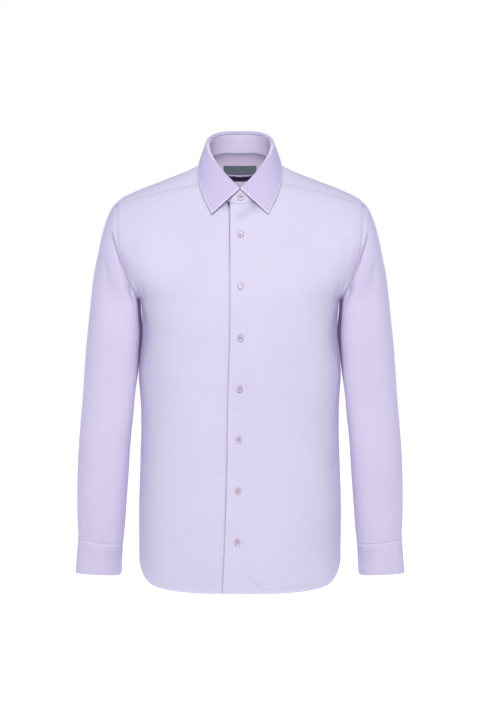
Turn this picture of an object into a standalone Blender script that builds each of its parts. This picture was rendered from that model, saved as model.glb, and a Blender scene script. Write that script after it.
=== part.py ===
# Long sleeve dress shirt, buttoned up, in its worn and hollow form. Metres, +Z up.
# The front faces -Y and the wearer's left is at +X. The origin is midway between the two side
# neck points, where the shoulders carry the shirt.

import math
from collections import namedtuple

import bpy
import numpy as np
from mathutils import Matrix

# Cloth
WALL = 0.0012
COLLAR_WALL = 0.0016
SEAM_GAP = 0.0004
LAP_GAP = 0.0003
UNDERARM_GAP = 0.0009

# Torso
CHEST_Z = -0.235
CHEST_HALF = 0.1745
SECTION = 2.3
SHOULDER_HALF = 0.2135
RIDGE_Y = 0.004
ARMHOLE_SWEEP = 3.3
SCOOP_ANGLE = math.radians(27)
SCOOP_POWER = 0.6

# Seams of the yoke: how far up each armhole, and up the middle of the back, they lie
YOKE_FRONT_RISE = math.radians(73)
YOKE_BACK_RISE = math.radians(51)
YOKE_CENTRE_Z = -0.070
YOKE_CORNER = math.radians(62)

# Neck opening, as seen from above, and the top edge of the collar stand
NECK_HALF = 0.068
NECK_DEPTH = 0.055
NECK_Y = -0.007
STAND_HALF = 0.0536
STAND_DEPTH = 0.0515
STAND_Y = -0.008
STAND_LAP = 0.0172
COLLAR_OPENING = math.radians(2.2)
COLLAR_LAP_GAP = 0.0008
COLLAR_STEP_START = 0.25
COLLAR_STEP_FADE = 0.45
COLLAR_SEAM_GAP = 0.0013
BAND_ROUNDING = 0.011
LEAF_START = 0.0008
FOLD_RISE = 0.0022
FOLD_RADIUS = 0.0034
LEAF_BULGE = 0.0008

# Front lap: the right front's hidden edge, and where it has stepped back to the left one's level
UNDER_EDGE = -0.0165
LAP_STEP_START = 0.034
LAP_STEP_FADE = 0.045

# Sleeve and cuff, whose opening is at the back and towards the outside
SLEEVE_SECTION = 2.5
SLEEVE_STRAIGHTENING = 0.5
SLEEVE_ROUNDING = 0.45
CUFF_WALL = 0.0018
CUFF_LAP_STEP = 0.0024
PLACKET_ROWS = 4
PLACKET_GAP = 0.0005
OPENING_FACING = (0.45, 0.89, 0)
TUCK_ANGLE = math.radians(137)
TUCK_SPREAD = math.radians(27)

# Buttons
BUTTON_RADIUS = 0.0056
BUTTON_THICKNESS = 0.0024
BUTTON_STEPS = 14
FRONT_BUTTON_PITCH = 0.0885
FRONT_BUTTON_TOP = -0.118
FRONT_BUTTONS = 7
COLLAR_BUTTON_Z = -0.0535
BUTTON_LINE_X = 0.0012
BUTTON_LINE_DRIFT = 0.006
BUTTON_LINE_START = -0.2
BUTTON_LINE_FALL = 0.5

# Label: how far round the shoulder from the neck seam it starts, and how far it reaches
LABEL_HALF = 0.029
LABEL_START = math.radians(11.8)
LABEL_REACH = math.radians(6.0)
LABEL_WALL = 0.0010
LABEL_GAP = 0.0007

# Counts of columns and rows
NECK_COLUMNS = 6
YOKE_COLUMNS = 6
FRONT_UPPER_ROWS = 8
BACK_UPPER_ROWS = 6
YOKE_ARMHOLE_ROWS = 7
BACK_COLUMNS = 9
LOWER_ROWS = 9

Body = namedtuple("Body", "z half front back")
BODY = (
    Body(-0.760, 0.1775, 0.116, 0.119),
    Body(-0.660, 0.1800, 0.115, 0.121),
    Body(-0.600, 0.1800, 0.114, 0.119),
    Body(-0.520, 0.1775, 0.111, 0.112),
    Body(-0.450, 0.1755, 0.110, 0.106),
    Body(-0.415, 0.1760, 0.111, 0.105),
    Body(-0.362, 0.1790, 0.114, 0.108),
    Body(-0.300, 0.1755, 0.118, 0.114),
    Body(CHEST_Z, CHEST_HALF, 0.118, 0.118),
)

Shoulder = namedtuple("Shoulder", "x z")
SHOULDER = (
    Shoulder(-0.040, 0.0300),
    Shoulder(0.000, 0.0380),
    Shoulder(0.040, 0.0300),
    Shoulder(0.066, 0.0080),
    Shoulder(0.085, -0.0020),
    Shoulder(0.136, -0.0230),
    Shoulder(0.188, -0.0434),
    Shoulder(0.208, -0.0535),
    Shoulder(0.224, -0.0665),
)

Hem = namedtuple("Hem", "turn front back")
HEM = (
    Hem(0, -0.7400, -0.7520),
    Hem(25, -0.7400, -0.7520),
    Hem(45, -0.7370, -0.7480),
    Hem(60, -0.7310, -0.7390),
    Hem(70, -0.7210, -0.7240),
    Hem(80, -0.7060, -0.7060),
    Hem(90, -0.6950, -0.6950),
)

FrontEdge = namedtuple("FrontEdge", "z x")
FRONT_EDGE = (
    FrontEdge(-0.740, -0.0305),
    FrontEdge(-0.645, -0.0262),
    FrontEdge(-0.541, -0.0228),
    FrontEdge(-0.402, -0.0208),
    FrontEdge(-0.299, -0.0176),
    FrontEdge(-0.060, -0.0175),
)

StandTop = namedtuple("StandTop", "turn z")
STAND_TOP = (
    StandTop(0, -0.0435),
    StandTop(20, -0.0255),
    StandTop(45, -0.0005),
    StandTop(70, 0.0218),
    StandTop(90, 0.0365),
    StandTop(130, 0.0550),
    StandTop(180, 0.0605),
    StandTop(230, 0.0550),
)

LeafEdge = namedtuple("LeafEdge", "turn x y z")
LEAF_EDGE = (
    LeafEdge(0, 0.0474, -0.0762, -0.0845),
    LeafEdge(28, 0.0655, -0.0530, -0.0470),
    LeafEdge(55, 0.0725, -0.0302, -0.0170),
    LeafEdge(85, 0.0720, -0.0018, 0.0085),
    LeafEdge(130, 0.0530, 0.0460, 0.0150),
    LeafEdge(180, 0.0000, 0.0650, 0.0170),
    LeafEdge(230, -0.0530, 0.0460, 0.0150),
)

SleeveRing = namedtuple("SleeveRing", "share top_x top_z under_x under_z depth y ahead behind")
SLEEVE = (
    SleeveRing(0.00, 0.2135, -0.0580, 0.1745, -0.2350, 0.070, 0.000, 0.0000, 0.0000),
    SleeveRing(0.05, 0.2260, -0.0710, 0.1785, -0.2350, 0.073, 0.000, 0.0020, 0.0040),
    SleeveRing(0.12, 0.2400, -0.1050, 0.1810, -0.2370, 0.071, 0.000, 0.0060, 0.0125),
    SleeveRing(0.19, 0.2510, -0.1490, 0.1825, -0.2420, 0.068, -0.001, 0.0110, 0.0190),
    SleeveRing(0.26, 0.2590, -0.1920, 0.1830, -0.2500, 0.065, -0.002, 0.0135, 0.0200),
    SleeveRing(0.33, 0.2640, -0.2370, 0.1830, -0.2640, 0.064, -0.004, 0.0135, 0.0175),
    SleeveRing(0.42, 0.2700, -0.2950, 0.1825, -0.2980, 0.062, -0.007, 0.0115, 0.0150),
    SleeveRing(0.52, 0.2755, -0.3600, 0.1848, -0.3600, 0.060, -0.010, 0.0090, 0.0080),
    SleeveRing(0.61, 0.2795, -0.4160, 0.1890, -0.4170, 0.058, -0.013, 0.0060, 0.0005),
    SleeveRing(0.72, 0.2855, -0.4870, 0.1945, -0.4900, 0.055, -0.016, 0.0030, 0.0000),
    SleeveRing(0.83, 0.2885, -0.5560, 0.1998, -0.5620, 0.051, -0.019, 0.0010, 0.0000),
    SleeveRing(0.93, 0.2890, -0.6180, 0.2055, -0.6270, 0.046, -0.021, 0.0000, 0.0000),
    SleeveRing(1.00, 0.2870, -0.6540, 0.2090, -0.6640, 0.041, -0.022, 0.0000, 0.0000),
)
CUFF_END = SleeveRing(1.0, 0.2915, -0.7150, 0.2118, -0.7185, 0.0375, -0.022, 0, 0)

Fold = namedtuple("Fold", "x y z to_x to_y to_z width depth")
FRONT_FOLDS = (
    Fold(0.192, -0.082, -0.115, 0.164, -0.050, -0.240, 0.018, 0.0040),
    Fold(0.174, -0.025, -0.452, 0.146, -0.074, -0.476, 0.013, 0.0035),
    Fold(0.176, -0.020, -0.500, 0.158, -0.062, -0.512, 0.011, 0.0020),
)
BACK_FOLDS = (
    Fold(0.180, 0.085, -0.140, 0.158, 0.060, -0.260, 0.020, 0.0035),
    Fold(0.060, 0.104, -0.400, 0.150, 0.070, -0.430, 0.020, 0.0045),
    Fold(0.030, 0.108, -0.455, 0.120, 0.090, -0.490, 0.022, 0.0040),
)
SLEEVE_FOLDS = (
    Fold(0.229, -0.064, -0.110, 0.187, -0.062, -0.218, 0.012, 0.0030),
    Fold(0.236, 0.060, -0.150, 0.205, 0.055, -0.270, 0.016, 0.0045),
    Fold(0.205, -0.055, -0.395, 0.250, -0.068, -0.425, 0.016, 0.0035),
)

Form = namedtuple("Form", "facing depth round_centre round_side notch")
FRONT = Form(-1, "front", 1.28, 1.70, math.radians(50))
BACK = Form(1, "back", 2.40, 2.20, math.radians(52))


def along(rows, at, column):
    """Smooth value of a named column, at a value of the table's first column."""
    keys = np.array([row[0] for row in rows])
    values = np.array([getattr(row, column) for row in rows])
    slopes = np.gradient(values, keys)
    at = np.clip(at, keys[0], keys[-1])
    low = np.clip(np.searchsorted(keys, at, side="right") - 1, 0, len(keys) - 2)
    span = keys[low + 1] - keys[low]
    share = (at - keys[low]) / span
    start = (1 + 2 * share) * (1 - share) ** 2 * values[low]
    start += share * (1 - share) ** 2 * span * slopes[low]
    end = share**2 * (3 - 2 * share) * values[low + 1]
    return start + end + share**2 * (share - 1) * span * slopes[low + 1]


def signed_power(value, power):
    return np.sign(value) * np.abs(value) ** power


def ease(share):
    share = np.clip(share, 0, 1)
    return share * share * (3 - 2 * share)


def turn_from_across(across):
    """Angle round a section, from its middle, where the share of the half width is given."""
    return np.arcsin(np.clip(signed_power(across, SECTION / 2), -1, 1))


# The torso above the chest: columns of cloth that close over the shoulder line


def side_height(rise, form):
    return np.sin(rise) ** (2 / form.round_side)


def armhole_x(rise, form):
    return CHEST_HALF + (SHOULDER_HALF - CHEST_HALF) * (1 - (1 - side_height(rise, form)) ** ARMHOLE_SWEEP)


def armhole_turn(rise, form):
    scoop = np.sin(0.5 * math.pi * np.minimum(1, rise / SCOOP_ANGLE)) ** SCOOP_POWER
    return 0.5 * math.pi - (0.5 * math.pi - form.notch) * scoop


def reach(rise, form):
    return armhole_x(rise, form) / np.sin(armhole_turn(rise, form)) ** (2 / SECTION)


def closing_power(x, form):
    side = ease(np.abs(x) / SHOULDER_HALF)
    return 2 / (form.round_centre + (form.round_side - form.round_centre) * side)


def upper_point(x, rise, form):
    """Cloth at a distance across and an angle up from the chest, 90 degrees on the shoulder line."""
    turn = turn_from_across(x / reach(rise, form))
    depth = along(BODY, CHEST_Z, form.depth) * np.cos(turn) ** (2 / SECTION)
    power = closing_power(x, form)
    y = RIDGE_Y + (form.facing * depth - RIDGE_Y) * np.cos(rise) ** power
    z = CHEST_Z + (along(SHOULDER, np.abs(x), "z") - CHEST_Z) * np.sin(rise) ** power
    return np.stack(np.broadcast_arrays(x, y, z), axis=-1)


def over_point(x, angle):
    """The same, with one angle from the front of the chest over the shoulder to the back."""
    front = upper_point(x, np.clip(angle, 0, 0.5 * math.pi), FRONT)
    back = upper_point(x, np.clip(math.pi - angle, 0, 0.5 * math.pi), BACK)
    return np.where((angle < 0.5 * math.pi)[..., None], front, back)


def neck_angle(turn):
    """Where the neck seam crosses the cloth, at a turn round the neck from its front."""
    x = NECK_HALF * np.sin(turn)
    y = NECK_Y - NECK_DEPTH * np.cos(turn)
    low = np.zeros_like(x)
    high = np.full_like(x, math.pi)
    for _ in range(40):
        middle = 0.5 * (low + high)
        ahead = over_point(x, middle)[..., 1] < y
        low = np.where(ahead, middle, low)
        high = np.where(ahead, high, middle)
    return x, low


def lower_point(turn, z, form):
    half = along(BODY, z, "half")
    depth = along(BODY, z, form.depth)
    x = half * signed_power(np.sin(turn), 2 / SECTION)
    y = form.facing * depth * np.abs(np.cos(turn)) ** (2 / SECTION)
    return np.stack(np.broadcast_arrays(x, y, z), axis=-1)


# Panels as grids of points: rows from the top seam down to the hem


def front_neck_turns():
    """Turns round the neck from the lapped end to the yoke's corner, at +X."""
    lap_turn = -math.asin(STAND_LAP / NECK_HALF)
    free = np.linspace(COLLAR_OPENING, YOKE_CORNER, NECK_COLUMNS - 1)
    return np.concatenate([[lap_turn, 0.5 * lap_turn], free])


def front_top():
    neck_x, neck_rise = neck_angle(front_neck_turns())
    share = np.linspace(0, 1, YOKE_COLUMNS + 1)[1:]
    yoke_x = neck_x[-1] + (armhole_x(YOKE_FRONT_RISE, FRONT) - neck_x[-1]) * share
    yoke_rise = neck_rise[-1] + (YOKE_FRONT_RISE - neck_rise[-1]) * share
    return np.concatenate([neck_x, yoke_x]), np.concatenate([neck_rise, yoke_rise])


def column_share(x, rise, edge_x, form):
    first = turn_from_across(edge_x / reach(rise, form))
    return (turn_from_across(x / reach(rise, form)) - first) / (armhole_turn(rise, form) - first)


def panel(top_x, top_rise, edge_x, form, upper_rows, lower_rows):
    """Half a torso panel, from an inner edge to the armhole and side seam, at +X."""
    count = len(top_x)
    spread = np.linspace(0, 1, count)
    top_share = column_share(top_x, top_rise, top_x[0], form)
    rows = []
    for level in np.linspace(1, 0, upper_rows + 1):
        rise = top_rise * level
        share = spread + (top_share - spread) * level
        edge_z = upper_point(np.zeros(count), rise, form)[:, 2]
        inner = turn_from_across(edge_x(edge_z) / reach(rise, form))
        inner = inner + (turn_from_across(top_x[0] / reach(rise, form)) - inner) * level**4
        turn = inner + (armhole_turn(rise, form) - inner) * share
        x = reach(rise, form) * signed_power(np.sin(turn), 2 / SECTION)
        rows.append(upper_point(x, rise, form))
    for drop in np.linspace(0, 1, lower_rows + 1)[1:]:
        turn = 0.5 * math.pi * spread
        for _ in range(3):
            hem_z = along(HEM, np.degrees(np.abs(turn)), form.depth)
            z = CHEST_Z + (hem_z - CHEST_Z) * drop
            inner = turn_from_across(edge_x(z) / along(BODY, z, "half"))
            turn = inner + (0.5 * math.pi - inner) * spread
        rows.append(lower_point(turn, z, form))
    return np.array(rows)


def normals(grid, closed=False):
    down = np.gradient(grid, axis=0)
    if closed:
        around = np.roll(grid, -1, axis=1) - np.roll(grid, 1, axis=1)
    else:
        around = np.gradient(grid, axis=1)
    facing = np.cross(down, around)
    return facing / np.maximum(np.linalg.norm(facing, axis=-1, keepdims=True), 1e-12)


def folded(grid, folds, outward, held):
    """The grid with soft troughs pressed in, except where its edges are held by a seam."""
    depth = np.zeros(grid.shape[:2])
    for fold in folds:
        start = np.array(fold[:3])
        run = np.array(fold[3:6]) - start
        share = np.clip((grid - start) @ run / (run @ run), 0, 1)
        away = np.linalg.norm(grid - start - share[..., None] * run, axis=-1)
        depth += fold.depth * np.exp(-((away / fold.width) ** 2))
    return grid - outward * (depth * held)[..., None]


def held_edges(rows, columns, top=True, bottom=False, last=True):
    held = np.ones((rows, columns))
    if top:
        held[0] = 0
    if bottom:
        held[-1] = 0
    if last:
        held[:, -1] = 0
    return held


def trimmed(grid, top=0.0, bottom=0.0, first=0.0, last=0.0):
    """The grid with its edges drawn in, so that it stays clear of what is sewn to it."""
    grid = grid.copy()
    for edge, neighbour, amount in ((0, 1, top), (-1, -2, bottom)):
        step = grid[neighbour] - grid[edge]
        grid[edge] += step * amount / np.linalg.norm(step, axis=-1, keepdims=True)
    for edge, neighbour, amount in ((0, 1, first), (-1, -2, last)):
        step = grid[:, neighbour] - grid[:, edge]
        grid[:, edge] += step * amount / np.linalg.norm(step, axis=-1, keepdims=True)
    return grid


def mirrored(grid):
    return grid * np.array([-1, 1, 1])


def front_left_grid():
    top_x, top_rise = front_top()
    grid = panel(top_x, top_rise, lambda z: along(FRONT_EDGE, z, "x"), FRONT, FRONT_UPPER_ROWS, LOWER_ROWS)
    return folded(grid, FRONT_FOLDS, normals(grid), held_edges(*grid.shape[:2]))


def front_right_grid():
    """The right front, which steps in where it lies under the left one."""
    top_x, top_rise = front_top()
    grid = panel(top_x, top_rise, lambda z: UNDER_EDGE + 0 * z, FRONT, FRONT_UPPER_ROWS, LOWER_ROWS)
    under = 1 - ease((grid[..., 0] - LAP_STEP_START) / LAP_STEP_FADE)
    grid = grid - normals(grid) * (under * (WALL + LAP_GAP))[..., None]
    return mirrored(folded(grid, FRONT_FOLDS, normals(grid), held_edges(*grid.shape[:2])))


def back_top():
    share = np.linspace(0, 1, BACK_COLUMNS + 1)
    x = share * armhole_x(YOKE_BACK_RISE, BACK)
    side_z = upper_point(x[-1:], YOKE_BACK_RISE, BACK)[0, 2]
    z = YOKE_CENTRE_Z + (side_z - YOKE_CENTRE_Z) * share**2
    height = (z - CHEST_Z) / (along(SHOULDER, x, "z") - CHEST_Z)
    return x, np.arcsin(height ** (1 / closing_power(x, BACK)))


def back_grid():
    top_x, top_rise = back_top()
    half = panel(top_x, top_rise, lambda z: 0 * z, BACK, BACK_UPPER_ROWS, LOWER_ROWS)
    half = folded(half, BACK_FOLDS, -normals(half), held_edges(*half.shape[:2]))
    half[:, 0, 0] = 0
    return np.concatenate([mirrored(half)[:, :0:-1], half], axis=1)


def yoke_half_chart():
    """Lines that fan out from the neck seam to the front seam, armhole and back seam."""
    corner_x, corner_rise = neck_angle(np.array([YOKE_CORNER]))
    armhole = np.linspace(YOKE_FRONT_RISE, math.pi - YOKE_BACK_RISE, YOKE_ARMHOLE_ROWS + 1)
    front_x = armhole_x(np.minimum(armhole, 0.5 * math.pi), FRONT)
    back_x = armhole_x(np.minimum(math.pi - armhole, 0.5 * math.pi), BACK)
    armhole_reach = np.where(armhole < 0.5 * math.pi, front_x, back_x)
    seam_x, seam_rise = back_top()
    end_x = np.concatenate([armhole_reach, seam_x[-2::-1]])
    end_angle = np.concatenate([armhole, math.pi - seam_rise[-2::-1]])
    start_x, start_angle = neck_angle(np.linspace(YOKE_CORNER, math.pi, len(end_x)))
    start_x[-1] = 0
    share = np.linspace(0, 1, YOKE_COLUMNS + 1)[:, None]
    return start_x + (end_x - start_x) * share, start_angle + (end_angle - start_angle) * share


def yoke_grid():
    half = over_point(*yoke_half_chart())
    return np.concatenate([half, mirrored(half)[:, -2::-1]], axis=1)


# Collar


def neck_turns():
    """Turns of the neck's columns, from the front to the back, at +X."""
    behind = np.linspace(YOKE_CORNER, math.pi, YOKE_ARMHOLE_ROWS + BACK_COLUMNS + 1)
    return np.concatenate([front_neck_turns(), behind[1:]])


def stand_top(turn):
    x = STAND_HALF * np.sin(turn)
    y = STAND_Y - STAND_DEPTH * np.cos(turn)
    return np.stack([x, y, along(STAND_TOP, np.degrees(np.abs(turn)), "z")], axis=-1)


def neck_outward(turn):
    return np.stack([np.sin(turn), -np.cos(turn), 0 * turn], axis=-1)


def neck_layer(turn, right):
    """How far the collar's under end steps in: only the right half does so, near the front."""
    near_front = 1 - ease((turn - COLLAR_STEP_START) / COLLAR_STEP_FADE)
    return -(COLLAR_WALL + COLLAR_LAP_GAP) * right * near_front


def stand_half(turn, right):
    low = over_point(*neck_angle(turn))
    high = stand_top(turn)
    rise = (high - low) / np.linalg.norm(high - low, axis=-1, keepdims=True)
    low = low + rise * COLLAR_SEAM_GAP
    step = neck_outward(turn) * neck_layer(turn, right)[:, None]
    end_z = stand_top(np.maximum(turn, 0))[:, 2] - BAND_ROUNDING * ease(np.minimum(turn, 0) / turn[0])
    kept = (end_z - low[:, 2]) / (high[:, 2] - low[:, 2])
    share = np.array([0, 0.5, 1])[:, None, None] * kept[:, None]
    return low + (high - low) * share + step


def stand_grid():
    turns = neck_turns()
    left = stand_half(turns, 0)
    right = mirrored(stand_half(turns, 1))
    return np.concatenate([left, right[:, -2::-1]], axis=1)


def leaf_half(turn, right):
    fold = stand_top(turn) + neck_outward(turn) * neck_layer(turn, right)[:, None]
    outward = neck_outward(turn)
    up = np.array([0.0, 0.0, 1.0])
    rows = [fold + up * LEAF_START, fold + up * FOLD_RISE]
    for angle in (math.radians(90), math.radians(180)):
        out = FOLD_RADIUS * (1 - math.cos(angle))
        rows.append(fold + up * (FOLD_RISE + FOLD_RADIUS * math.sin(angle)) + outward * out)
    degrees = np.degrees(turn)
    edge = np.stack([along(LEAF_EDGE, degrees, column) for column in ("x", "y", "z")], axis=-1)
    start = rows[-1]
    for share in (0.5, 1.0):
        rows.append(start + (edge - start) * share + outward * LEAF_BULGE * math.sin(math.pi * share))
    return np.array(rows)


def leaf_grid():
    turns = neck_turns()[2:]
    left = leaf_half(turns, 0)
    right = mirrored(leaf_half(turns, 1))
    return np.concatenate([left, right[:, -2::-1]], axis=1)


# Sleeves and cuffs


def armhole_loop():
    """The armhole seam at +X, from the underarm up the front, over and down the back."""
    front_rise = np.linspace(0, YOKE_FRONT_RISE, FRONT_UPPER_ROWS + 1)
    front = upper_point(armhole_x(front_rise, FRONT), front_rise, FRONT)
    yoke_x, yoke_angle = yoke_half_chart()
    over = over_point(yoke_x[-1, : YOKE_ARMHOLE_ROWS + 1], yoke_angle[-1, : YOKE_ARMHOLE_ROWS + 1])
    back_rise = np.linspace(YOKE_BACK_RISE, 0, BACK_UPPER_ROWS + 1)
    back = upper_point(armhole_x(back_rise, BACK), back_rise, BACK)
    return np.concatenate([front[:-1], over[:-1], back[:-1]])


def ring_frame(ring):
    top = np.array([ring.top_x, 0, ring.top_z])
    under = np.array([ring.under_x, 0, ring.under_z])
    half = 0.5 * np.linalg.norm(top - under)
    return 0.5 * (top + under) + np.array([0, ring.y, 0]), (top - under) / (2 * half), half


def even_angles(angle, blend):
    """Angles round a ring, from the underarm up the front, drawn towards an even spacing."""
    index = np.arange(len(angle))
    angle[0] = -math.pi
    top = np.interp(0, angle, index)
    front = math.pi * (index / top - 1)
    behind = math.pi * (index - top) / (len(angle) - top)
    return angle + (np.where(index < top, front, behind) - angle) * blend


def sleeve_ring(share, loop):
    """One ring of the sleeve, which turns from the armhole's shape into an oval."""
    first = SLEEVE[0]
    start, start_axis, start_half = ring_frame(first)
    lateral = np.cross(start_axis, np.array([0, 1, 0]))
    high = (loop - start) @ start_axis / start_half
    wide = (loop - start)[:, 1] / first.depth
    bow = (loop - start) @ lateral
    angle = even_angles(np.arctan2(wide, high), ease(share / SLEEVE_ROUNDING))
    oval = 1 / (np.abs(np.cos(angle)) ** SLEEVE_SECTION + np.abs(np.sin(angle)) ** SLEEVE_SECTION) ** (
        1 / SLEEVE_SECTION
    )
    blend = ease(share / SLEEVE_ROUNDING)
    high = high + (oval * np.cos(angle) - high) * blend
    wide = wide + (oval * np.sin(angle) - wide) * blend
    ring = SleeveRing(share, *(float(along(SLEEVE, share, column)) for column in SleeveRing._fields[1:]))
    points = ring_points(ring, high, wide, bow * (1 - ease(share / SLEEVE_STRAIGHTENING)))
    for inward, middle in ((ring.ahead, -TUCK_ANGLE), (ring.behind, TUCK_ANGLE)):
        points[:, 0] -= inward * np.exp(-(((angle - middle) / TUCK_SPREAD) ** 2))
    return points


def ring_points(ring, high, wide, bow):
    centre, axis, half = ring_frame(ring)
    outward = np.cross(axis, np.array([0, 1, 0]))
    ahead = np.array([0.0, 1.0, 0.0])
    return centre + np.outer(high * half, axis) + np.outer(wide * ring.depth, ahead) + np.outer(bow, outward)


def sleeve_grid():
    loop = armhole_loop()
    shares = [ring.share for ring in SLEEVE]
    grid = np.array([loop] + [sleeve_ring(share, loop) for share in shares[1:]])
    held = held_edges(*grid.shape[:2], bottom=True, last=False)
    grid = folded(grid, SLEEVE_FOLDS, normals(grid, closed=True), held)
    under = 0.5 * (1 - np.cos(2 * math.pi * np.arange(len(loop)) / len(loop)))
    gap = SEAM_GAP + UNDERARM_GAP * (1 - under)
    step = grid[1] - grid[0]
    grid[0] += step * (gap / np.linalg.norm(step, axis=-1))[:, None]
    return grid


def cuff_grid(sleeve):
    """The cuff, round from its under end to its upper end, which laps over it at the back."""
    last = sleeve[-1]
    drop = sleeve[-1] - sleeve[-2]
    top = last + drop * ((SEAM_GAP / np.linalg.norm(drop, axis=-1)) * 1.5)[:, None]
    centre, axis, half = ring_frame(SLEEVE[-1])
    high = (last - centre) @ axis / half
    wide = (last - centre)[:, 1] / SLEEVE[-1].depth
    bottom = ring_points(CUFF_END, high, wide, 0 * high)
    start = placket_column(sleeve)
    order = (start + np.arange(len(last) + 2)) % len(last)
    share = np.array([0, 0.5, 1])[:, None, None]
    grid = (top + (bottom - top) * share)[:, order]
    lift = np.zeros(len(order))
    lift[-3:] = (0.3 * CUFF_LAP_STEP, CUFF_LAP_STEP, CUFF_LAP_STEP)
    return grid + tube_normals(grid) * lift[:, None]


def tube_normals(grid):
    centre = grid.mean(axis=1, keepdims=True)
    outward = (grid - centre) * np.array([1, 1, 0])
    return outward / np.linalg.norm(outward, axis=-1, keepdims=True)


def placket_column(sleeve):
    """The column of the sleeve's opening, at the back, towards the outside."""
    last = sleeve[-1]
    centre = last.mean(axis=0)
    direction = (last - centre) @ np.array(OPENING_FACING)
    return int(np.argmax(direction))


def placket_grid(sleeve):
    start = placket_column(sleeve)
    rows = sleeve[-PLACKET_ROWS:]
    strip = rows[:, [start, start + 1]]
    facing = tube_normals(rows)[:, [start, start + 1]]
    return trimmed(strip + facing * (WALL + PLACKET_GAP), bottom=SEAM_GAP)


# Objects


def material(name, colour, roughness):
    new = bpy.data.materials.new(name)
    new.use_nodes = True
    shader = new.node_tree.nodes["Principled BSDF"]
    shader.inputs["Base Color"].default_value = (*colour, 1)
    shader.inputs["Roughness"].default_value = roughness
    return new


def add_object(name, points, faces, finish):
    mesh = bpy.data.meshes.new(name)
    mesh.from_pydata([tuple(point) for point in points], [], faces)
    mesh.shade_smooth()
    mesh.materials.append(finish)
    piece = bpy.data.objects.new(name, mesh)
    bpy.data.collections["long_sleeve_dress_shirt"].objects.link(piece)
    return piece


def add_cloth(name, grid, finish, wall, closed=False):
    """A wall of cloth, half its thickness on each side of the grid."""
    rows, columns = grid.shape[:2]
    faces = []
    for row in range(rows - 1):
        for column in range(columns if closed else columns - 1):
            after = (column + 1) % columns
            low = row * columns
            faces.append((low + column, low + columns + column, low + columns + after, low + after))
    piece = add_object(name, grid.reshape(-1, 3), faces, finish)
    solidify = piece.modifiers.new("Wall", "SOLIDIFY")
    solidify.thickness = wall
    solidify.offset = 0
    return piece


def add_button(name, place, facing, finish):
    """A turned disc with a raised rim, its flat back on the cloth."""
    rim = 0.7 * BUTTON_RADIUS
    dish = 0.72 * BUTTON_THICKNESS
    profile = (
        (0, dish),
        (rim, dish),
        (0.86 * BUTTON_RADIUS, BUTTON_THICKNESS),
        (BUTTON_RADIUS, 0.6 * BUTTON_THICKNESS),
        (0.8 * BUTTON_RADIUS, 0),
        (0, 0),
    )
    points = [(x, 0, z) for x, z in profile]
    mesh = bpy.data.meshes.new(name)
    mesh.from_pydata(points, [(i, i + 1) for i in range(len(points) - 1)], [])
    mesh.materials.append(finish)
    piece = bpy.data.objects.new(name, mesh)
    bpy.data.collections["long_sleeve_dress_shirt"].objects.link(piece)
    screw = piece.modifiers.new("Turn", "SCREW")
    screw.steps = BUTTON_STEPS
    screw.render_steps = BUTTON_STEPS
    screw.use_merge_vertices = True
    screw.merge_threshold = 0.0001
    screw.use_smooth_shade = True
    across = np.cross(facing, np.array([0.0, 0.0, 1.0]))
    across = across / np.linalg.norm(across)
    upward = np.cross(facing, across)
    rows = [(across[i], upward[i], facing[i], place[i]) for i in range(3)]
    piece.matrix_world = Matrix((*rows, (0, 0, 0, 1)))
    return piece


def front_button_place(z):
    """A point on the left front's outer face, on the button line, and the way the cloth faces."""
    x = np.array([BUTTON_LINE_X - BUTTON_LINE_DRIFT * ease((BUTTON_LINE_START - z) / BUTTON_LINE_FALL)])
    levels = z + BUTTON_RADIUS * np.array([-1, 0, 1])
    if z < CHEST_Z:
        turn = turn_from_across(x / along(BODY, z, "half"))
        points = np.array([lower_point(turn, level, FRONT)[0] for level in levels])
    else:
        height = (levels - CHEST_Z) / (along(SHOULDER, x, "z") - CHEST_Z)
        points = upper_point(x, np.arcsin(height ** (1 / closing_power(x, FRONT))), FRONT)
    return points[1], upright_facing(points[2] - points[0])


def upright_facing(slope):
    """The way forward from cloth that rises along a slope, with no turn to the side."""
    return np.array([0, -slope[2], slope[1]]) / np.hypot(slope[1], slope[2])


def remove_everything():
    for piece in list(bpy.data.objects):
        bpy.data.objects.remove(piece)


def add_buttons(finish):
    for number in range(FRONT_BUTTONS):
        place, facing = front_button_place(FRONT_BUTTON_TOP - number * FRONT_BUTTON_PITCH)
        add_button(f"button_front_{number + 1}", place + facing * (0.5 * WALL + LAP_GAP), facing, finish)
    turn = np.array([0.0])
    low = over_point(*neck_angle(turn))[0]
    high = stand_top(turn)[0]
    place = low + (high - low) * (COLLAR_BUTTON_Z - low[2]) / (high[2] - low[2])
    facing = upright_facing(high - low)
    place = place + facing * (0.5 * COLLAR_WALL + LAP_GAP) + np.array([BUTTON_LINE_X, 0, 0])
    add_button("button_collar", place, facing, finish)


def add_arm(side, sign, cloth, pearl):
    turned = np.array([sign, 1, 1])
    sleeve = sleeve_grid()
    cuff = cuff_grid(sleeve)
    placket = placket_grid(sleeve)
    order = 1 if sign > 0 else -1
    add_cloth(f"sleeve_{side}", (sleeve * turned)[:, ::order], cloth, WALL, closed=True)
    add_cloth(f"cuff_{side}", (cuff * turned)[:, ::order], cloth, CUFF_WALL)
    add_cloth(f"sleeve_placket_{side}", (placket * turned)[:, ::order], cloth, WALL)
    middle = 0.5 * (cuff[1, -1] + cuff[1, -2])
    facing = np.cross(cuff[1, -1] - cuff[1, -2], cuff[2, -2] - cuff[0, -2])
    facing = facing * np.sign(facing[1]) / np.linalg.norm(facing)
    place = middle + facing * (0.5 * CUFF_WALL + LAP_GAP)
    add_button(f"cuff_button_{side}", place * turned, facing * turned, pearl)


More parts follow.
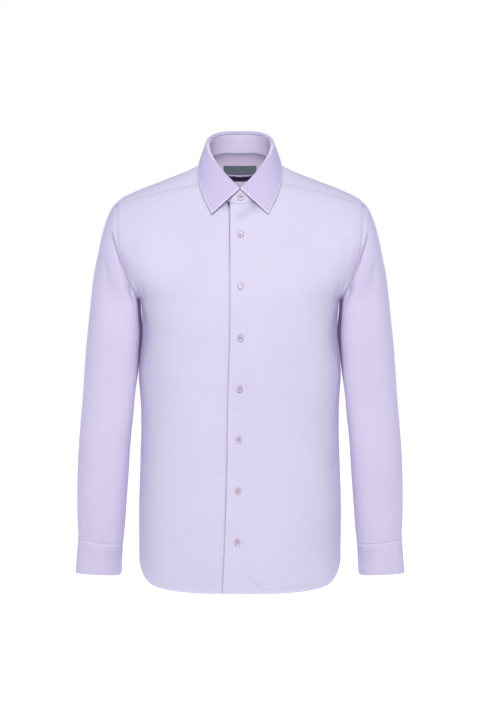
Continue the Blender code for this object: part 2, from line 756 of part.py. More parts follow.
def add_label(finish):
    """The blank label inside the yoke, just under the back neck seam."""
    across = np.linspace(-LABEL_HALF, LABEL_HALF, 5)
    _, seam = neck_angle(np.array([math.pi]))
    levels = seam[0] + LABEL_START + LABEL_REACH * np.array([0, 0.5, 1])
    grid = np.array([over_point(across, np.full(5, level)) for level in levels])
    inward = normals(grid)
    inward = inward * np.sign(-inward[..., 1:2])
    add_cloth("neck_label", grid + inward * (0.5 * (WALL + LABEL_WALL) + LABEL_GAP), finish, LABEL_WALL)


def build_shirt():
    remove_everything()
    collection = bpy.data.collections.new("long_sleeve_dress_shirt")
    bpy.context.scene.collection.children.link(collection)
    cloth = material("shirt_cotton", (0.68, 0.63, 0.84), 0.8)
    pearl = material("button_pearl", (0.55, 0.45, 0.62), 0.25)
    grey = material("label_weave", (0.13, 0.16, 0.2), 0.7)
    half_gap = 0.5 * SEAM_GAP
    front_left = trimmed(front_left_grid(), top=half_gap, last=half_gap)
    front_right = trimmed(front_right_grid(), top=half_gap, last=half_gap)
    back = trimmed(back_grid(), top=half_gap, first=half_gap, last=half_gap)
    yoke = trimmed(yoke_grid(), bottom=half_gap, first=half_gap, last=half_gap)
    add_cloth("front_left", front_left, cloth, WALL)
    add_cloth("front_right", front_right[:, ::-1], cloth, WALL)
    add_cloth("back", back[:, ::-1], cloth, WALL)
    add_cloth("yoke", yoke, cloth, WALL)
    add_cloth("collar_stand", stand_grid(), cloth, COLLAR_WALL)
    add_cloth("collar_leaf", leaf_grid(), cloth, COLLAR_WALL)
    add_arm("left", 1, cloth, pearl)
    add_arm("right", -1, cloth, pearl)
    add_label(grey)
    add_buttons(pearl)


build_shirt()
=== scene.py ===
import math

import bpy
import numpy as np
from mathutils import Matrix, Vector


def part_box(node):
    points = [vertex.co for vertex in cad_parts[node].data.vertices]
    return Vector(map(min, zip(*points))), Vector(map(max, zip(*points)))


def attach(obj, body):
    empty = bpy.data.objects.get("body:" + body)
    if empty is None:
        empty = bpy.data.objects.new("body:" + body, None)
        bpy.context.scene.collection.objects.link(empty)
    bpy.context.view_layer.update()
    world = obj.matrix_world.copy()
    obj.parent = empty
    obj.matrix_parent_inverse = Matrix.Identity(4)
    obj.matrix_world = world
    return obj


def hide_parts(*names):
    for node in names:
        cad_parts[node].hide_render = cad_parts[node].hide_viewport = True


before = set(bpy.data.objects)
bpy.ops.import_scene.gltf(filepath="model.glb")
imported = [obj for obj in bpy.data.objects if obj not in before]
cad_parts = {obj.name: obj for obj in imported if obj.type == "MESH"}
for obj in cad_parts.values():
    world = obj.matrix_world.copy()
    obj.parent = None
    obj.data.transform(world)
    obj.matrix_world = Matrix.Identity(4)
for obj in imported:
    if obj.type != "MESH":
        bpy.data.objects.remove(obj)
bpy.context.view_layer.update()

# A long sleeve dress shirt, buttoned up and kept in its worn form. Metres, the front faces -Y.
print("frame loaded", len(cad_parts), "nodes")

torso = {
    "wall": 0.0012, "section": 2.3, "chestZ": -0.235, "chestHalf": 0.1745, "shoulderHalf": 0.2135,
    "ridgeY": 0.004, "armholeSweep": 3.3, "scoopAngle": math.radians(27), "scoopPower": 0.6,
    "seamGap": 0.00016, "lapGap": 0.0003,
    # the curve over the chest, and how the cloth is drawn in under the arms
    "chestReach": 0.055, "chestPasses": 110, "sideHeld": 0.12,
    "tuck": 0.0030, "tuckZ": -0.292, "tuckReach": 0.044, "tuckFrom": 0.10, "tuckOver": 0.07,
    # height, half width, depth in front, depth behind
    "girth": [
        (-0.760, 0.1775, 0.116, 0.119), (-0.660, 0.1800, 0.115, 0.121), (-0.600, 0.1800, 0.114, 0.119),
        (-0.520, 0.1775, 0.111, 0.112), (-0.450, 0.1755, 0.110, 0.106), (-0.415, 0.1760, 0.111, 0.105),
        (-0.362, 0.1790, 0.114, 0.108), (-0.300, 0.1755, 0.118, 0.114), (-0.235, 0.1745, 0.118, 0.118),
    ],
    # distance across, height of the shoulder line
    "shoulder": [
        (-0.040, 0.0300), (0.000, 0.0380), (0.040, 0.0300), (0.066, 0.0080), (0.085, -0.0020),
        (0.136, -0.0230), (0.188, -0.0434), (0.208, -0.0535), (0.224, -0.0665),
    ],
    # turn in degrees, height of the hem in front and behind
    "hem": [
        (0, -0.740, -0.752), (25, -0.740, -0.752), (45, -0.737, -0.748), (60, -0.731, -0.739),
        (70, -0.721, -0.724), (80, -0.706, -0.706), (90, -0.695, -0.695),
    ],
}
# columns of the tables above, how the cloth closes at the middle and the side, and the armhole's notch
frontForm = {"facing": -1, "girth": 2, "hem": 1, "middle": 1.28, "side": 1.70, "notch": math.radians(50)}
backForm = {"facing": 1, "girth": 3, "hem": 2, "middle": 2.40, "side": 2.20, "notch": math.radians(52)}
neck = {
    "half": 0.068, "depth": 0.055, "y": -0.007, "yokeCorner": math.radians(62),
    "frontRise": math.radians(73), "backRise": math.radians(51), "backSeamZ": -0.070,
}
roundness = 2 / torso["section"]
quarterTurn = 0.5 * math.pi
backward, upright = np.array([0.0, 1.0, 0.0]), np.array([0.0, 0.0, 1.0])


def along(rows, at, column):
    # smooth value of a column of a table
    table = np.array(rows, float)
    keys, values = table[:, 0], table[:, column]
    slopes = np.gradient(values, keys)
    at = np.clip(at, keys[0], keys[-1])
    low = np.clip(np.searchsorted(keys, at, side="right") - 1, 0, len(keys) - 2)
    span = keys[low + 1] - keys[low]
    share = (at - keys[low]) / span
    start = (1 + 2 * share) * (1 - share) ** 2 * values[low] + share * (1 - share) ** 2 * span * slopes[low]
    end = share**2 * (3 - 2 * share) * values[low + 1] + share**2 * (share - 1) * span * slopes[low + 1]
    return start + end


def placeAlong(rows, at):
    return np.stack([along(rows, at, column) for column in (1, 2, 3)], axis=-1)


def signedPower(value, power):
    return np.sign(value) * np.abs(value) ** power


def ease(share):
    share = np.clip(share, 0, 1)
    return share * share * (3 - 2 * share)


def bell(value, width, power=2):
    # 1 in the middle and next to nothing two widths away
    return np.exp(-((value / width) ** power))


def unit(vectors):
    return vectors / np.maximum(np.linalg.norm(vectors, axis=-1, keepdims=True), 1e-12)


def halved(low, high, holds):
    # the place between two others up to which a test holds, by repeated halving
    for _ in range(40):
        middle = 0.5 * (low + high)
        held = holds(middle)
        low, high = np.where(held, middle, low), np.where(held, high, middle)
    return low


def turnFromAcross(across):
    return np.arcsin(np.clip(signedPower(across, 1 / roundness), -1, 1))


def armholeX(rise, form):
    height = np.sin(rise) ** (2 / form["side"])
    reach = torso["shoulderHalf"] - torso["chestHalf"]
    return torso["chestHalf"] + reach * (1 - (1 - height) ** torso["armholeSweep"])


def overArmholeX(angle):
    # the armhole's distance across, at an angle from the front over the shoulder to the back
    front = armholeX(np.minimum(angle, quarterTurn), frontForm)
    back = armholeX(np.minimum(math.pi - angle, quarterTurn), backForm)
    return np.where(angle < quarterTurn, front, back)


def armholeTurn(rise, form):
    scoop = np.sin(quarterTurn * np.minimum(1, rise / torso["scoopAngle"])) ** torso["scoopPower"]
    return quarterTurn - (quarterTurn - form["notch"]) * scoop


def reachAt(rise, form):
    return armholeX(rise, form) / np.sin(armholeTurn(rise, form)) ** roundness


def closingPower(x, form):
    side = ease(np.abs(x) / torso["shoulderHalf"])
    return 2 / (form["middle"] + (form["side"] - form["middle"]) * side)


def upperPoint(x, rise, form):
    # cloth above the chest: a distance across, and an angle up to the shoulder line
    turn = turnFromAcross(x / reachAt(rise, form))
    depth = along(torso["girth"], torso["chestZ"], form["girth"]) * np.cos(turn) ** roundness
    power = closingPower(x, form)
    y = torso["ridgeY"] + (form["facing"] * depth - torso["ridgeY"]) * np.cos(rise) ** power
    top = along(torso["shoulder"], np.abs(x), 1)
    z = torso["chestZ"] + (top - torso["chestZ"]) * np.sin(rise) ** power
    return np.stack(np.broadcast_arrays(x, y, z), axis=-1)


def riseAt(x, z, form):
    # the angle at which the cloth reaches a height, at a distance across
    share = (z - torso["chestZ"]) / (along(torso["shoulder"], x, 1) - torso["chestZ"])
    return np.arcsin(share ** (1 / closingPower(x, form)))


def overPoint(x, angle):
    front = upperPoint(x, np.clip(angle, 0, quarterTurn), frontForm)
    back = upperPoint(x, np.clip(math.pi - angle, 0, quarterTurn), backForm)
    return np.where((angle < quarterTurn)[..., None], front, back)


def neckAngle(turn):
    # where the neck seam crosses the cloth, at a turn round the neck from its front
    x = neck["half"] * np.sin(turn)
    y = neck["y"] - neck["depth"] * np.cos(turn)
    return x, halved(np.zeros_like(x), np.full_like(x, math.pi),
                     lambda angle: overPoint(x, angle)[..., 1] < y)


def lowerPoint(turn, z, form):
    # cloth below the chest: a turn round the body, and a height
    x = along(torso["girth"], z, 1) * signedPower(np.sin(turn), roundness)
    y = form["facing"] * along(torso["girth"], z, form["girth"]) * np.abs(np.cos(turn)) ** roundness
    return np.stack(np.broadcast_arrays(x, y, z), axis=-1)


def mirrored(grid):
    return grid * np.array([-1, 1, 1])


def joined(left, right):
    # a left half, and a right half that is mirrored onto it and shares its last column
    return np.concatenate([left, mirrored(right)[:, -2::-1]], axis=1)


def evenly(count, *more):
    # even shares from 0 to 1, with a few more among them
    return np.sort(np.append(np.linspace(0, 1, count + 1), more))


def facings(grid, closed=False):
    around = np.roll(grid, -1, axis=1) - np.roll(grid, 1, axis=1) if closed else np.gradient(grid, axis=1)
    return unit(np.cross(np.gradient(grid, axis=0), around))


def stepsAlong(grid, axis):
    steps = np.cumsum(np.linalg.norm(np.diff(grid, axis=axis), axis=-1), axis=axis)
    return np.insert(steps, 0, 0, axis=axis)


def edgeDistances(grid):
    # how far each point lies along the cloth from its top, bottom, first and last edges
    down, across = stepsAlong(grid, 0), stepsAlong(grid, 1)
    return {"top": down, "bottom": down[-1:] - down, "first": across, "last": across[:, -1:] - across}


def curvePath(points, count=24):
    # an even run of points on a smooth curve through the given ones, which are in millimetres
    points = 0.001 * np.array(points, float)
    steps = stepsAlong(points, 0)
    return placeAlong(np.column_stack([steps, points]), np.linspace(0, steps[-1], count))


# how a crease's depth wanders along it, and the shade painted in it
creaseLooks = {"wander": 0.18, "turns": 9, "shift": 40, "sharpest": 1.6, "shade": 0.5, "width": 0.55,
               "least": 0.0006}


def creaseDepth(grid, facing, creases):
    # soft troughs and ridges, and the shade painted into the deeper, sharper ones; a row of the table
    # has a path, its width on the left and right, its depth, all in millimetres, and the shares of its
    # length over which it fades in and out
    total, shade = np.zeros((2, *grid.shape[:2]))
    for path, *sizes, fadeIn, fadeOut in creases:
        leftWidth, rightWidth, depth = (0.001 * size for size in sizes)
        line = curvePath(path)
        reach = 3 * max(leftWidth, rightWidth)
        near = np.all((grid > line.min(0) - reach) & (grid < line.max(0) + reach), axis=-1)
        if not near.any():
            continue
        points, outward = grid[near], facing[near]
        best = np.full(len(points), 1e9)
        where, signed = np.zeros((2, len(points)))
        for index in range(len(line) - 1):
            run = line[index + 1] - line[index]
            share = np.clip((points - line[index]) @ run / (run @ run), 0, 1)
            offset = points - line[index] - share[:, None] * run
            offset -= outward * np.sum(offset * outward, axis=1, keepdims=True)
            away = np.linalg.norm(offset, axis=1)
            side = np.sum(np.cross(outward, run) * offset, axis=1)
            closer = away < best
            best = np.where(closer, away, best)
            where = np.where(closer, (index + share) / (len(line) - 1), where)
            signed = np.where(closer, side, signed)
        fade = ease(where / fadeIn) * ease((1 - where) / fadeOut)
        wander = np.sin(creaseLooks["turns"] * where + creaseLooks["shift"] * depth / leftWidth)
        wander = 1 + creaseLooks["wander"] * wander
        total[near] += depth * wander * fade * bell(best, np.where(signed > 0, leftWidth, rightWidth))
        narrow = min(leftWidth, rightWidth)
        sharp = min(depth / narrow, creaseLooks["sharpest"]) / creaseLooks["sharpest"]
        dark = creaseLooks["shade"] * sharp * fade
        dark = dark * bell(best, creaseLooks["width"] * narrow + creaseLooks["least"])
        shade[near] = np.maximum(shade[near], dark)
    return total, shade


def mirroredCreases(creases, height=1.0, lower=0.0, wider=1.0, shallower=1.0):
    # the same creases on the other side, and a little different where asked
    return [([(-x, y, z * height - lower) for x, y, z in path],
             right * wider, left, depth * shallower, *fades)
            for path, left, right, depth, *fades in creases]


def pathShade(grid, path, width, amount, fadeIn, fadeOut):
    # a soft painted shade along a line on the front of the cloth
    line = curvePath(path)
    away = np.linalg.norm((grid[..., None, :] - line)[..., [0, 2]], axis=-1)
    share = away.argmin(axis=-1) / (len(line) - 1)
    fade = ease(share / fadeIn) * ease((1 - share) / fadeOut) * (grid[..., 1] < 0)
    return amount * bell(away.min(axis=-1), width) * fade


waviness = {"waves": 9, "longest": 0.19, "shortest": 0.07, "upright": 0.55, "spread": 3.2}
seam = {"held": 0.010, "passes": 3, "dip": 0.0001, "dipWidth": 0.0022, "shadeWidth": 0.0012, "over": 0.006}
halfGap = 0.5 * torso["seamGap"]


def softUnevenness(grid, seed, amount):
    # the slight waviness of hung cloth, from a few long waves
    draw = np.random.default_rng(seed)
    total = np.zeros(grid.shape[:2])
    for _ in range(waviness["waves"]):
        heading = unit(draw.normal(size=3) * np.array([1, 1, waviness["upright"]]))
        length = waviness["shortest"] + (waviness["longest"] - waviness["shortest"]) * draw.random()
        wave = np.sin(grid @ heading * 2 * math.pi / length + draw.random() * 6.28)
        total += wave * length / waviness["longest"]
    return amount * total / waviness["spread"]


def relaxed(grid, passes, closed):
    grid = grid.copy()
    for _ in range(passes):
        if closed:
            beside = 0.5 * (np.roll(grid, 1, axis=1) + np.roll(grid, -1, axis=1))
            grid[1:-1] = 0.5 * grid[1:-1] + 0.25 * beside[1:-1] + 0.125 * (grid[:-2] + grid[2:])
        else:
            inner = 0.25 * (grid[:-2, 1:-1] + grid[2:, 1:-1] + grid[1:-1, :-2] + grid[1:-1, 2:])
            grid[1:-1, 1:-1] = 0.5 * grid[1:-1, 1:-1] + 0.5 * inner
    return grid


def easedChest(grid, spread):
    # lets the cloth round over the chest in one long curve, except where the side is sewn
    free = ease((1 - np.abs(spread)) / torso["sideHeld"])
    weight = bell(grid[..., 2] - torso["chestZ"], torso["chestReach"], 4) * free
    for _ in range(torso["chestPasses"]):
        middle = 0.25 * (grid[:-2] + grid[2:]) + 0.5 * grid[1:-1]
        grid[1:-1] += (middle - grid[1:-1]) * weight[1:-1, :, None]
    # and draws it in a little under the arms
    x, z = grid[..., 0], grid[..., 2]
    side = ease((np.abs(x) - torso["tuckFrom"]) / torso["tuckOver"])
    grid[..., 0] = x - np.sign(x) * torso["tuck"] * bell(z - torso["tuckZ"], torso["tuckReach"]) * side
    return grid


def drawnIn(grid, gaps):
    # the grid with its edges drawn in, so that it stays clear of what is sewn to it
    grid = grid.copy()
    away = edgeDistances(grid)
    places = {"top": (0, 1, 0), "bottom": (-1, -2, 0), "first": (0, 1, 1), "last": (-1, -2, 1)}
    for name, amount in gaps.items():
        edge, beside, axis = places[name]
        lines = np.moveaxis(grid, axis, 0)
        fade = np.clip(1 - np.moveaxis(away[name], axis, 0) / seam["over"], 0, 1)
        lines += unit(lines[beside] - lines[edge])[None] * (fade * amount)[..., None]
    return grid


def settled(grid, creases, seed, uneven, held, gaps, seamShade, seamDip=seam["dip"], closed=False):
    # creases and unevenness, which die out at the sewn edges, the slight dip along each seam, and painted
    # shade along each seam and in the creases
    grid = relaxed(grid, seam["passes"], closed)
    away = edgeDistances(grid)
    free = np.ones(grid.shape[:2])
    dip, shade = np.zeros((2, *grid.shape[:2]))
    for edge, fade in held.items():
        free *= ease(away[edge] / fade)
        dip += seamDip * bell(away[edge], seam["dipWidth"]) * (away[edge] > 1e-6)
        shade = np.maximum(shade, seamShade * bell(away[edge], seam["shadeWidth"]))
    facing = facings(grid, closed)
    press, creased = creaseDepth(grid, facing, creases)
    press += softUnevenness(grid, seed, uneven)
    grid = grid - facing * (press * free + dip)[..., None]
    return drawnIn(grid, gaps), np.maximum(shade, creased * np.sqrt(free))


def addObject(name, data):
    holder = bpy.data.objects.new(name, data)
    bpy.context.scene.collection.objects.link(holder)
    return holder


def clothPiece(name, grid, finish, wall, shade=0.0, closed=False, edgeRound=0.8, innerPush=0.0,
               innerShade=None):
    # a shell of cloth round a grid, with soft edges and a UV map in metres along the threads
    half = 0.5 * np.broadcast_to(wall, grid.shape[:2]).copy()
    half[[0, -1]] *= edgeRound
    if not closed:
        half[:, [0, -1]] *= edgeRound
    thick = facings(grid, closed) * half[..., None]
    outer, inner = grid + thick, grid - thick + innerPush
    count = half.size
    index = np.arange(count).reshape(half.shape)
    if closed:
        index = np.concatenate([index, index[:, :1]], axis=1)
    a, b, c, d = index[:-1, :-1], index[1:, :-1], index[1:, 1:], index[:-1, 1:]

    def quads(*corners):
        return np.stack(corners, axis=-1).reshape(-1, 4)

    def rim(near, far):
        return quads(near, far, far + count, near + count)

    faces = [quads(a, b, c, d), quads(d, c, b, a) + count]
    faces += [rim(index[0, :-1], index[0, 1:]), rim(index[-1, 1:], index[-1, :-1])]
    if not closed:
        faces += [rim(index[1:, 0], index[:-1, 0]), rim(index[:-1, -1], index[1:, -1])]
    faces = np.concatenate(faces)
    mesh = bpy.data.meshes.new(name)
    mesh.from_pydata(np.concatenate([outer, inner]).reshape(-1, 3).tolist(), [], faces.tolist())
    away = edgeDistances(grid)
    across = away["first"] - 0.5 * away["first"].max(axis=1, keepdims=True)
    uvs = np.stack([across, -away["top"]], axis=-1).reshape(-1, 2)[faces.ravel() % count]
    mesh.uv_layers.new(name="clothUv").data.foreach_set("uv", uvs.ravel().astype(np.float32))
    # painted shade as a point attribute that the poplin reads; the inner face gets half of it unless given
    # its own
    shade = np.broadcast_to(shade, half.shape)
    shades = np.stack([shade, 0.5 * shade if innerShade is None else innerShade]).ravel()
    attribute = mesh.attributes.new("paintedShade", "FLOAT", "POINT")
    attribute.data.foreach_set("value", shades.astype(np.float32))
    mesh.shade_smooth()
    mesh.materials.append(finish)
    return addObject(name, mesh), outer


def insetLine(surface, side, distance, fromShare=0.0, toShare=1.0):
    # the line that lies a distance in from one edge of a surface, along the cloth
    if side in ("first", "last"):
        surface = np.swapaxes(surface, 0, 1)
    if side in ("bottom", "last"):
        surface = surface[::-1]
    down = stepsAlong(surface, 0)
    line = np.array([[np.interp(distance, down[:, column], surface[:, column, axis]) for axis in range(3)]
                     for column in range(surface.shape[1])])
    last = len(line) - 1
    return line[int(fromShare * last): math.ceil(toShare * last) + 1]


def linear(code):
    # sRGB hex to the linear colour that the shader reads
    values = [int(code[i: i + 2], 16) / 255 for i in (1, 3, 5)]
    return tuple(v / 12.92 if v <= 0.04045 else ((v + 0.055) / 1.055) ** 2.4 for v in values) + (1.0,)


def addNode(tree, kind, inputs=None, **settings):
    # one node, with its settings, and for each input a value or the socket that feeds it
    node = tree.nodes.new(kind)
    for key, value in settings.items():
        setattr(node, key, value)
    for key, value in (inputs or {}).items():
        if isinstance(value, bpy.types.NodeSocket):
            tree.links.new(value, node.inputs[key])
        else:
            node.inputs[key].default_value = value
    return node


def mixTones(tree, share, low, high):
    low, high = (linear(tone) if isinstance(tone, str) else tone for tone in (low, high))
    return addNode(tree, "ShaderNodeMix", {0: share, 6: low, 7: high}, data_type="RGBA").outputs[2]


def mapSpan(tree, value, low, high, toLow=0.0, toHigh=1.0, **settings):
    inputs = {"Value": value, "From Min": low, "From Max": high, "To Min": toLow, "To Max": toHigh}
    return addNode(tree, "ShaderNodeMapRange", inputs, **settings).outputs[0]


def reckon(tree, operation, *values):
    return addNode(tree, "ShaderNodeMath", dict(enumerate(values)), operation=operation).outputs[0]


def threadWave(tree, distance, pitch):
    return reckon(tree, "SINE", reckon(tree, "MULTIPLY", distance, 2 * math.pi / pitch))


def noise(tree, place, looks):
    return addNode(tree, "ShaderNodeTexNoise", {"Vector": place, **looks}).outputs["Fac"]


def threadPlace(tree):
    # the place along the threads, as a vector and as its parts
    uv = addNode(tree, "ShaderNodeUVMap", uv_map="clothUv").outputs["UV"]
    return uv, addNode(tree, "ShaderNodeSeparateXYZ", {"Vector": uv}).outputs


def objectPlace(tree):
    return addNode(tree, "ShaderNodeTexCoord").outputs["Object"]


def newMaterial(name):
    finish = bpy.data.materials.new(name)
    finish.use_nodes = True
    finish.node_tree.nodes.clear()
    return finish, finish.node_tree


def setSurface(tree, inputs, tone=None, height=None, bump=0.0):
    # the shader with its colour and relief, led to the output
    if tone is not None:
        inputs = {**inputs, "Base Color": tone}
    if height is not None:
        relief = addNode(tree, "ShaderNodeBump", {"Strength": bump, "Distance": 0.0002, "Height": height})
        inputs = {**inputs, "Normal": relief.outputs["Normal"]}
    shader = addNode(tree, "ShaderNodeBsdfPrincipled", inputs)
    addNode(tree, "ShaderNodeOutputMaterial", {"Surface": shader.outputs["BSDF"]})


# real poplin has a thread about every 0.25 mm: drawn at about four times that, so that it shows
poplinLooks = {
    # the last two tones are painted: a pale one for painted highlights, painted light inside the neck and the
    # doubled hem, and a near black for deep painted shade
    "warpPitch": 0.0009, "weftPitch": 0.0011, "bump": 0.12, "edgeTone": "#F8E9FF", "paintedDeepShadeTone": "#3D3133",
    "slubStretch": (900.0, 14.0, 1.0), "slubGrain": {"Scale": 1.0, "Detail": 2.0},
    "cloudGrain": {"Scale": 11.0, "Detail": 2.0, "Roughness": 0.45},
    # each from two values of the grain, or of the painted shade, to two shares of the tone
    "slubSpan": (0.3, 0.7, 0.0, 0.22), "cloudSpan": (0.35, 0.65, 0.0, 0.30), "deepShadeSpan": (0.6, 1.0),
    "surface": {"Roughness": 0.78, "Specular IOR Level": 0.22, "Sheen Weight": 0.52,
                "Sheen Roughness": 0.45, "Sheen Tint": linear("#E2D8FF")},
}


def poplinMaterial(name, **tones):
    # cotton poplin: a plain weave of fine warp threads over slightly thicker weft, matt with a soft
    # sheen at its edges, a little uneven in tone from thread to thread
    looks = {**poplinLooks, **tones}
    finish, tree = newMaterial(name)
    uv, parts = threadPlace(tree)
    waves = [threadWave(tree, parts["X"], looks["warpPitch"]),
             threadWave(tree, parts["Y"], looks["weftPitch"])]
    weave = mapSpan(tree, reckon(tree, "MULTIPLY", *waves), -1.0, 1.0)
    stretched = addNode(tree, "ShaderNodeMapping", {"Vector": uv, "Scale": looks["slubStretch"]})
    slubs = noise(tree, stretched.outputs[0], looks["slubGrain"])
    clouds = noise(tree, objectPlace(tree), looks["cloudGrain"])
    tone = mixTones(tree, weave, looks["warp"], looks["weft"])
    tone = mixTones(tree, mapSpan(tree, slubs, *looks["slubSpan"]), tone, looks["slubTone"])
    tone = mixTones(tree, mapSpan(tree, clouds, *looks["cloudSpan"]), tone, looks["cloudTone"])
    # painted shade read from the cloth's attribute: darker in two steps above nothing; paler below it, as
    # painted highlights, painted light inside the neck, and the doubled hem
    press = addNode(tree, "ShaderNodeAttribute", attribute_name="paintedShade").outputs["Fac"]
    tone = mixTones(tree, press, tone, looks["pressTone"])
    tone = mixTones(tree, mapSpan(tree, press, *looks["deepShadeSpan"]), tone, looks["paintedDeepShadeTone"])
    tone = mixTones(tree, reckon(tree, "MULTIPLY", press, -1.0), tone, looks["edgeTone"])
    setSurface(tree, looks["surface"], tone, weave, looks["bump"])
    return finish


def grainMaterial(name, deep, pale, grain, span, surface):
    # a finish that drifts from one tone to another
    finish, tree = newMaterial(name)
    share = mapSpan(tree, noise(tree, objectPlace(tree), grain), *span)
    setSurface(tree, surface, mixTones(tree, share, deep, pale))
    return finish


def tapeMaterial(name, looks):
    # woven satin tape: fine ribs across and an uneven tone, no lettering
    finish, tree = newMaterial(name)
    uv, parts = threadPlace(tree)
    rib = mapSpan(tree, threadWave(tree, parts["Y"], looks["ribPitch"]), *looks["ribSpan"])
    mottled = reckon(tree, "MULTIPLY", rib, noise(tree, uv, looks["grain"]))
    tone = mixTones(tree, mapSpan(tree, mottled, *looks["span"]), looks["deep"], looks["pale"])
    setSurface(tree, looks["surface"], tone, rib, looks["bump"])
    return finish


# lilac poplin for the body; its last tone is the colour of painted shade
bodyPoplin = poplinMaterial("lilacPoplin", warp="#DCD5EE", weft="#E6E1F4", slubTone="#EBE7F7",
                            cloudTone="#D9D2EC", pressTone="#7C6AA4")
# the same poplin for the sleeves, its tones painted a little darker and pinker for how the light falls on
# them
sleevePoplin = poplinMaterial("lilacPoplinSleeve", warp="#D8CEEB", weft="#E3DBF2", slubTone="#E9E3F5",
                              cloudTone="#D5CBE9", pressTone="#74609A")
# the same poplin for the collar, its tones painted darker and more violet for how the light falls on it, and
# its painted highlights whiter
collarPoplin = poplinMaterial("lilacPoplinCollar", warp="#CFC4E8", weft="#DAD0EE", slubTone="#E2DAF3",
                              cloudTone="#CCC0E6", pressTone="#74609A", edgeTone="#FEFBFF")
# polished polyester resin with a pearl filler: glossy, cloudy, with a mother-of-pearl drift
pearlResin = grainMaterial("pearlResin", "#BBA5C0", "#EADCEA",
                           {"Scale": 420.0, "Detail": 3.0, "Distortion": 1.4}, (0.34, 0.66),
                           {"Roughness": 0.22, "IOR": 1.55, "Coat Weight": 0.6, "Coat Roughness": 0.08})
# spun polyester sewing thread: a twisted yarn with a soft shine
yarn = {"grain": {"Scale": 2200.0, "Detail": 1.0}, "span": (0.0, 1.0),
        "surface": {"Roughness": 0.55, "Sheen Weight": 0.3}}
seamThread = grainMaterial("lilacSeamThread", "#C9BEE0", "#E4DDF2", **yarn)
buttonThread = grainMaterial("mauveButtonThread", "#9A86A8", "#BBAAC8", **yarn)
labelTape = tapeMaterial("greyWovenTape", {
    "ribPitch": 0.0008, "deep": "#4B545E", "pale": "#8E98A2", "grain": {"Scale": 900.0, "Detail": 2.0},
    "ribSpan": (-1.0, 1.0, 0.25, 0.75), "span": (0.12, 0.42), "bump": 0.3,
    "surface": {"Roughness": 0.6, "Sheen Weight": 0.2}})
print("finishes made")

stitchLooks = {"Pitch": 0.0026, "Length": 0.0022, "Thickness": 0.0006, "Seed": 7}


def stitchTree():
    # turns a line into a row of raised stitches
    tree = bpy.data.node_groups.new("sewnLine", "GeometryNodeTree")
    face = tree.interface
    face.new_socket("Geometry", in_out="INPUT", socket_type="NodeSocketGeometry")
    for label, value in stitchLooks.items():
        kind = "NodeSocketInt" if label == "Seed" else "NodeSocketFloat"
        face.new_socket(label, in_out="INPUT", socket_type=kind).default_value = value
    face.new_socket("Thread", in_out="INPUT", socket_type="NodeSocketMaterial")
    face.new_socket("Geometry", in_out="OUTPUT", socket_type="NodeSocketGeometry")
    start = addNode(tree, "NodeGroupInput").outputs
    line = addNode(tree, "GeometryNodeMeshToCurve", {"Mesh": start["Geometry"]}).outputs["Curve"]
    dots = addNode(tree, "GeometryNodeCurveToPoints", {"Curve": line, "Length": start["Pitch"]},
                   mode="LENGTH").outputs
    bead = addNode(tree, "GeometryNodeMeshIcoSphere", {"Radius": 0.5, "Subdivisions": 1}).outputs["Mesh"]
    size = addNode(tree, "ShaderNodeCombineXYZ", {
        "X": start["Thickness"], "Y": start["Thickness"], "Z": start["Length"]}).outputs[0]
    shaped = addNode(tree, "GeometryNodeTransform", {"Geometry": bead, "Scale": size}).outputs["Geometry"]
    vary = addNode(tree, "FunctionNodeRandomValue", {2: 0.9, 3: 1.08, "Seed": start["Seed"]},
                   data_type="FLOAT").outputs[1]
    placed = addNode(tree, "GeometryNodeInstanceOnPoints", {
        "Points": dots["Points"], "Instance": shaped, "Rotation": dots["Rotation"], "Scale": vary})
    solid = addNode(tree, "GeometryNodeRealizeInstances", {"Geometry": placed.outputs["Instances"]})
    painted = addNode(tree, "GeometryNodeSetMaterial", {
        "Geometry": solid.outputs["Geometry"], "Material": start["Thread"]})
    addNode(tree, "NodeGroupOutput", {"Geometry": painted.outputs["Geometry"]})
    return tree


sewnLine = stitchTree()


def plainMesh(holder, tools=()):
    # the mesh that an object's modifiers give; the object and its tools go
    bpy.context.view_layer.update()
    mesh = bpy.data.meshes.new_from_object(holder.evaluated_get(bpy.context.evaluated_depsgraph_get()))
    holder.modifiers.clear()
    for spare in (holder, *tools):
        source = spare.data
        bpy.data.objects.remove(spare)
        bpy.data.meshes.remove(source)
    return mesh


def sewStitches(name, lines, **looks):
    points, edges = [], []
    for line in lines:
        edges += [(len(points) + i, len(points) + i + 1) for i in range(len(line) - 1)]
        points += [tuple(p) for p in line]
    mesh = bpy.data.meshes.new(name + "Line")
    mesh.from_pydata(points, edges, [])
    guide = addObject(name + "Line", mesh)
    modifier = guide.modifiers.new("Sewn", "NODES")
    modifier.node_group = sewnLine
    values = {**stitchLooks, **looks, "Thread": seamThread}
    for item in sewnLine.interface.items_tree:
        if item.in_out == "INPUT" and item.name in values:
            modifier[item.identifier] = values[item.name]
    plain = plainMesh(guide)
    plain.name = name
    plain.shade_smooth()
    return addObject(name, plain)


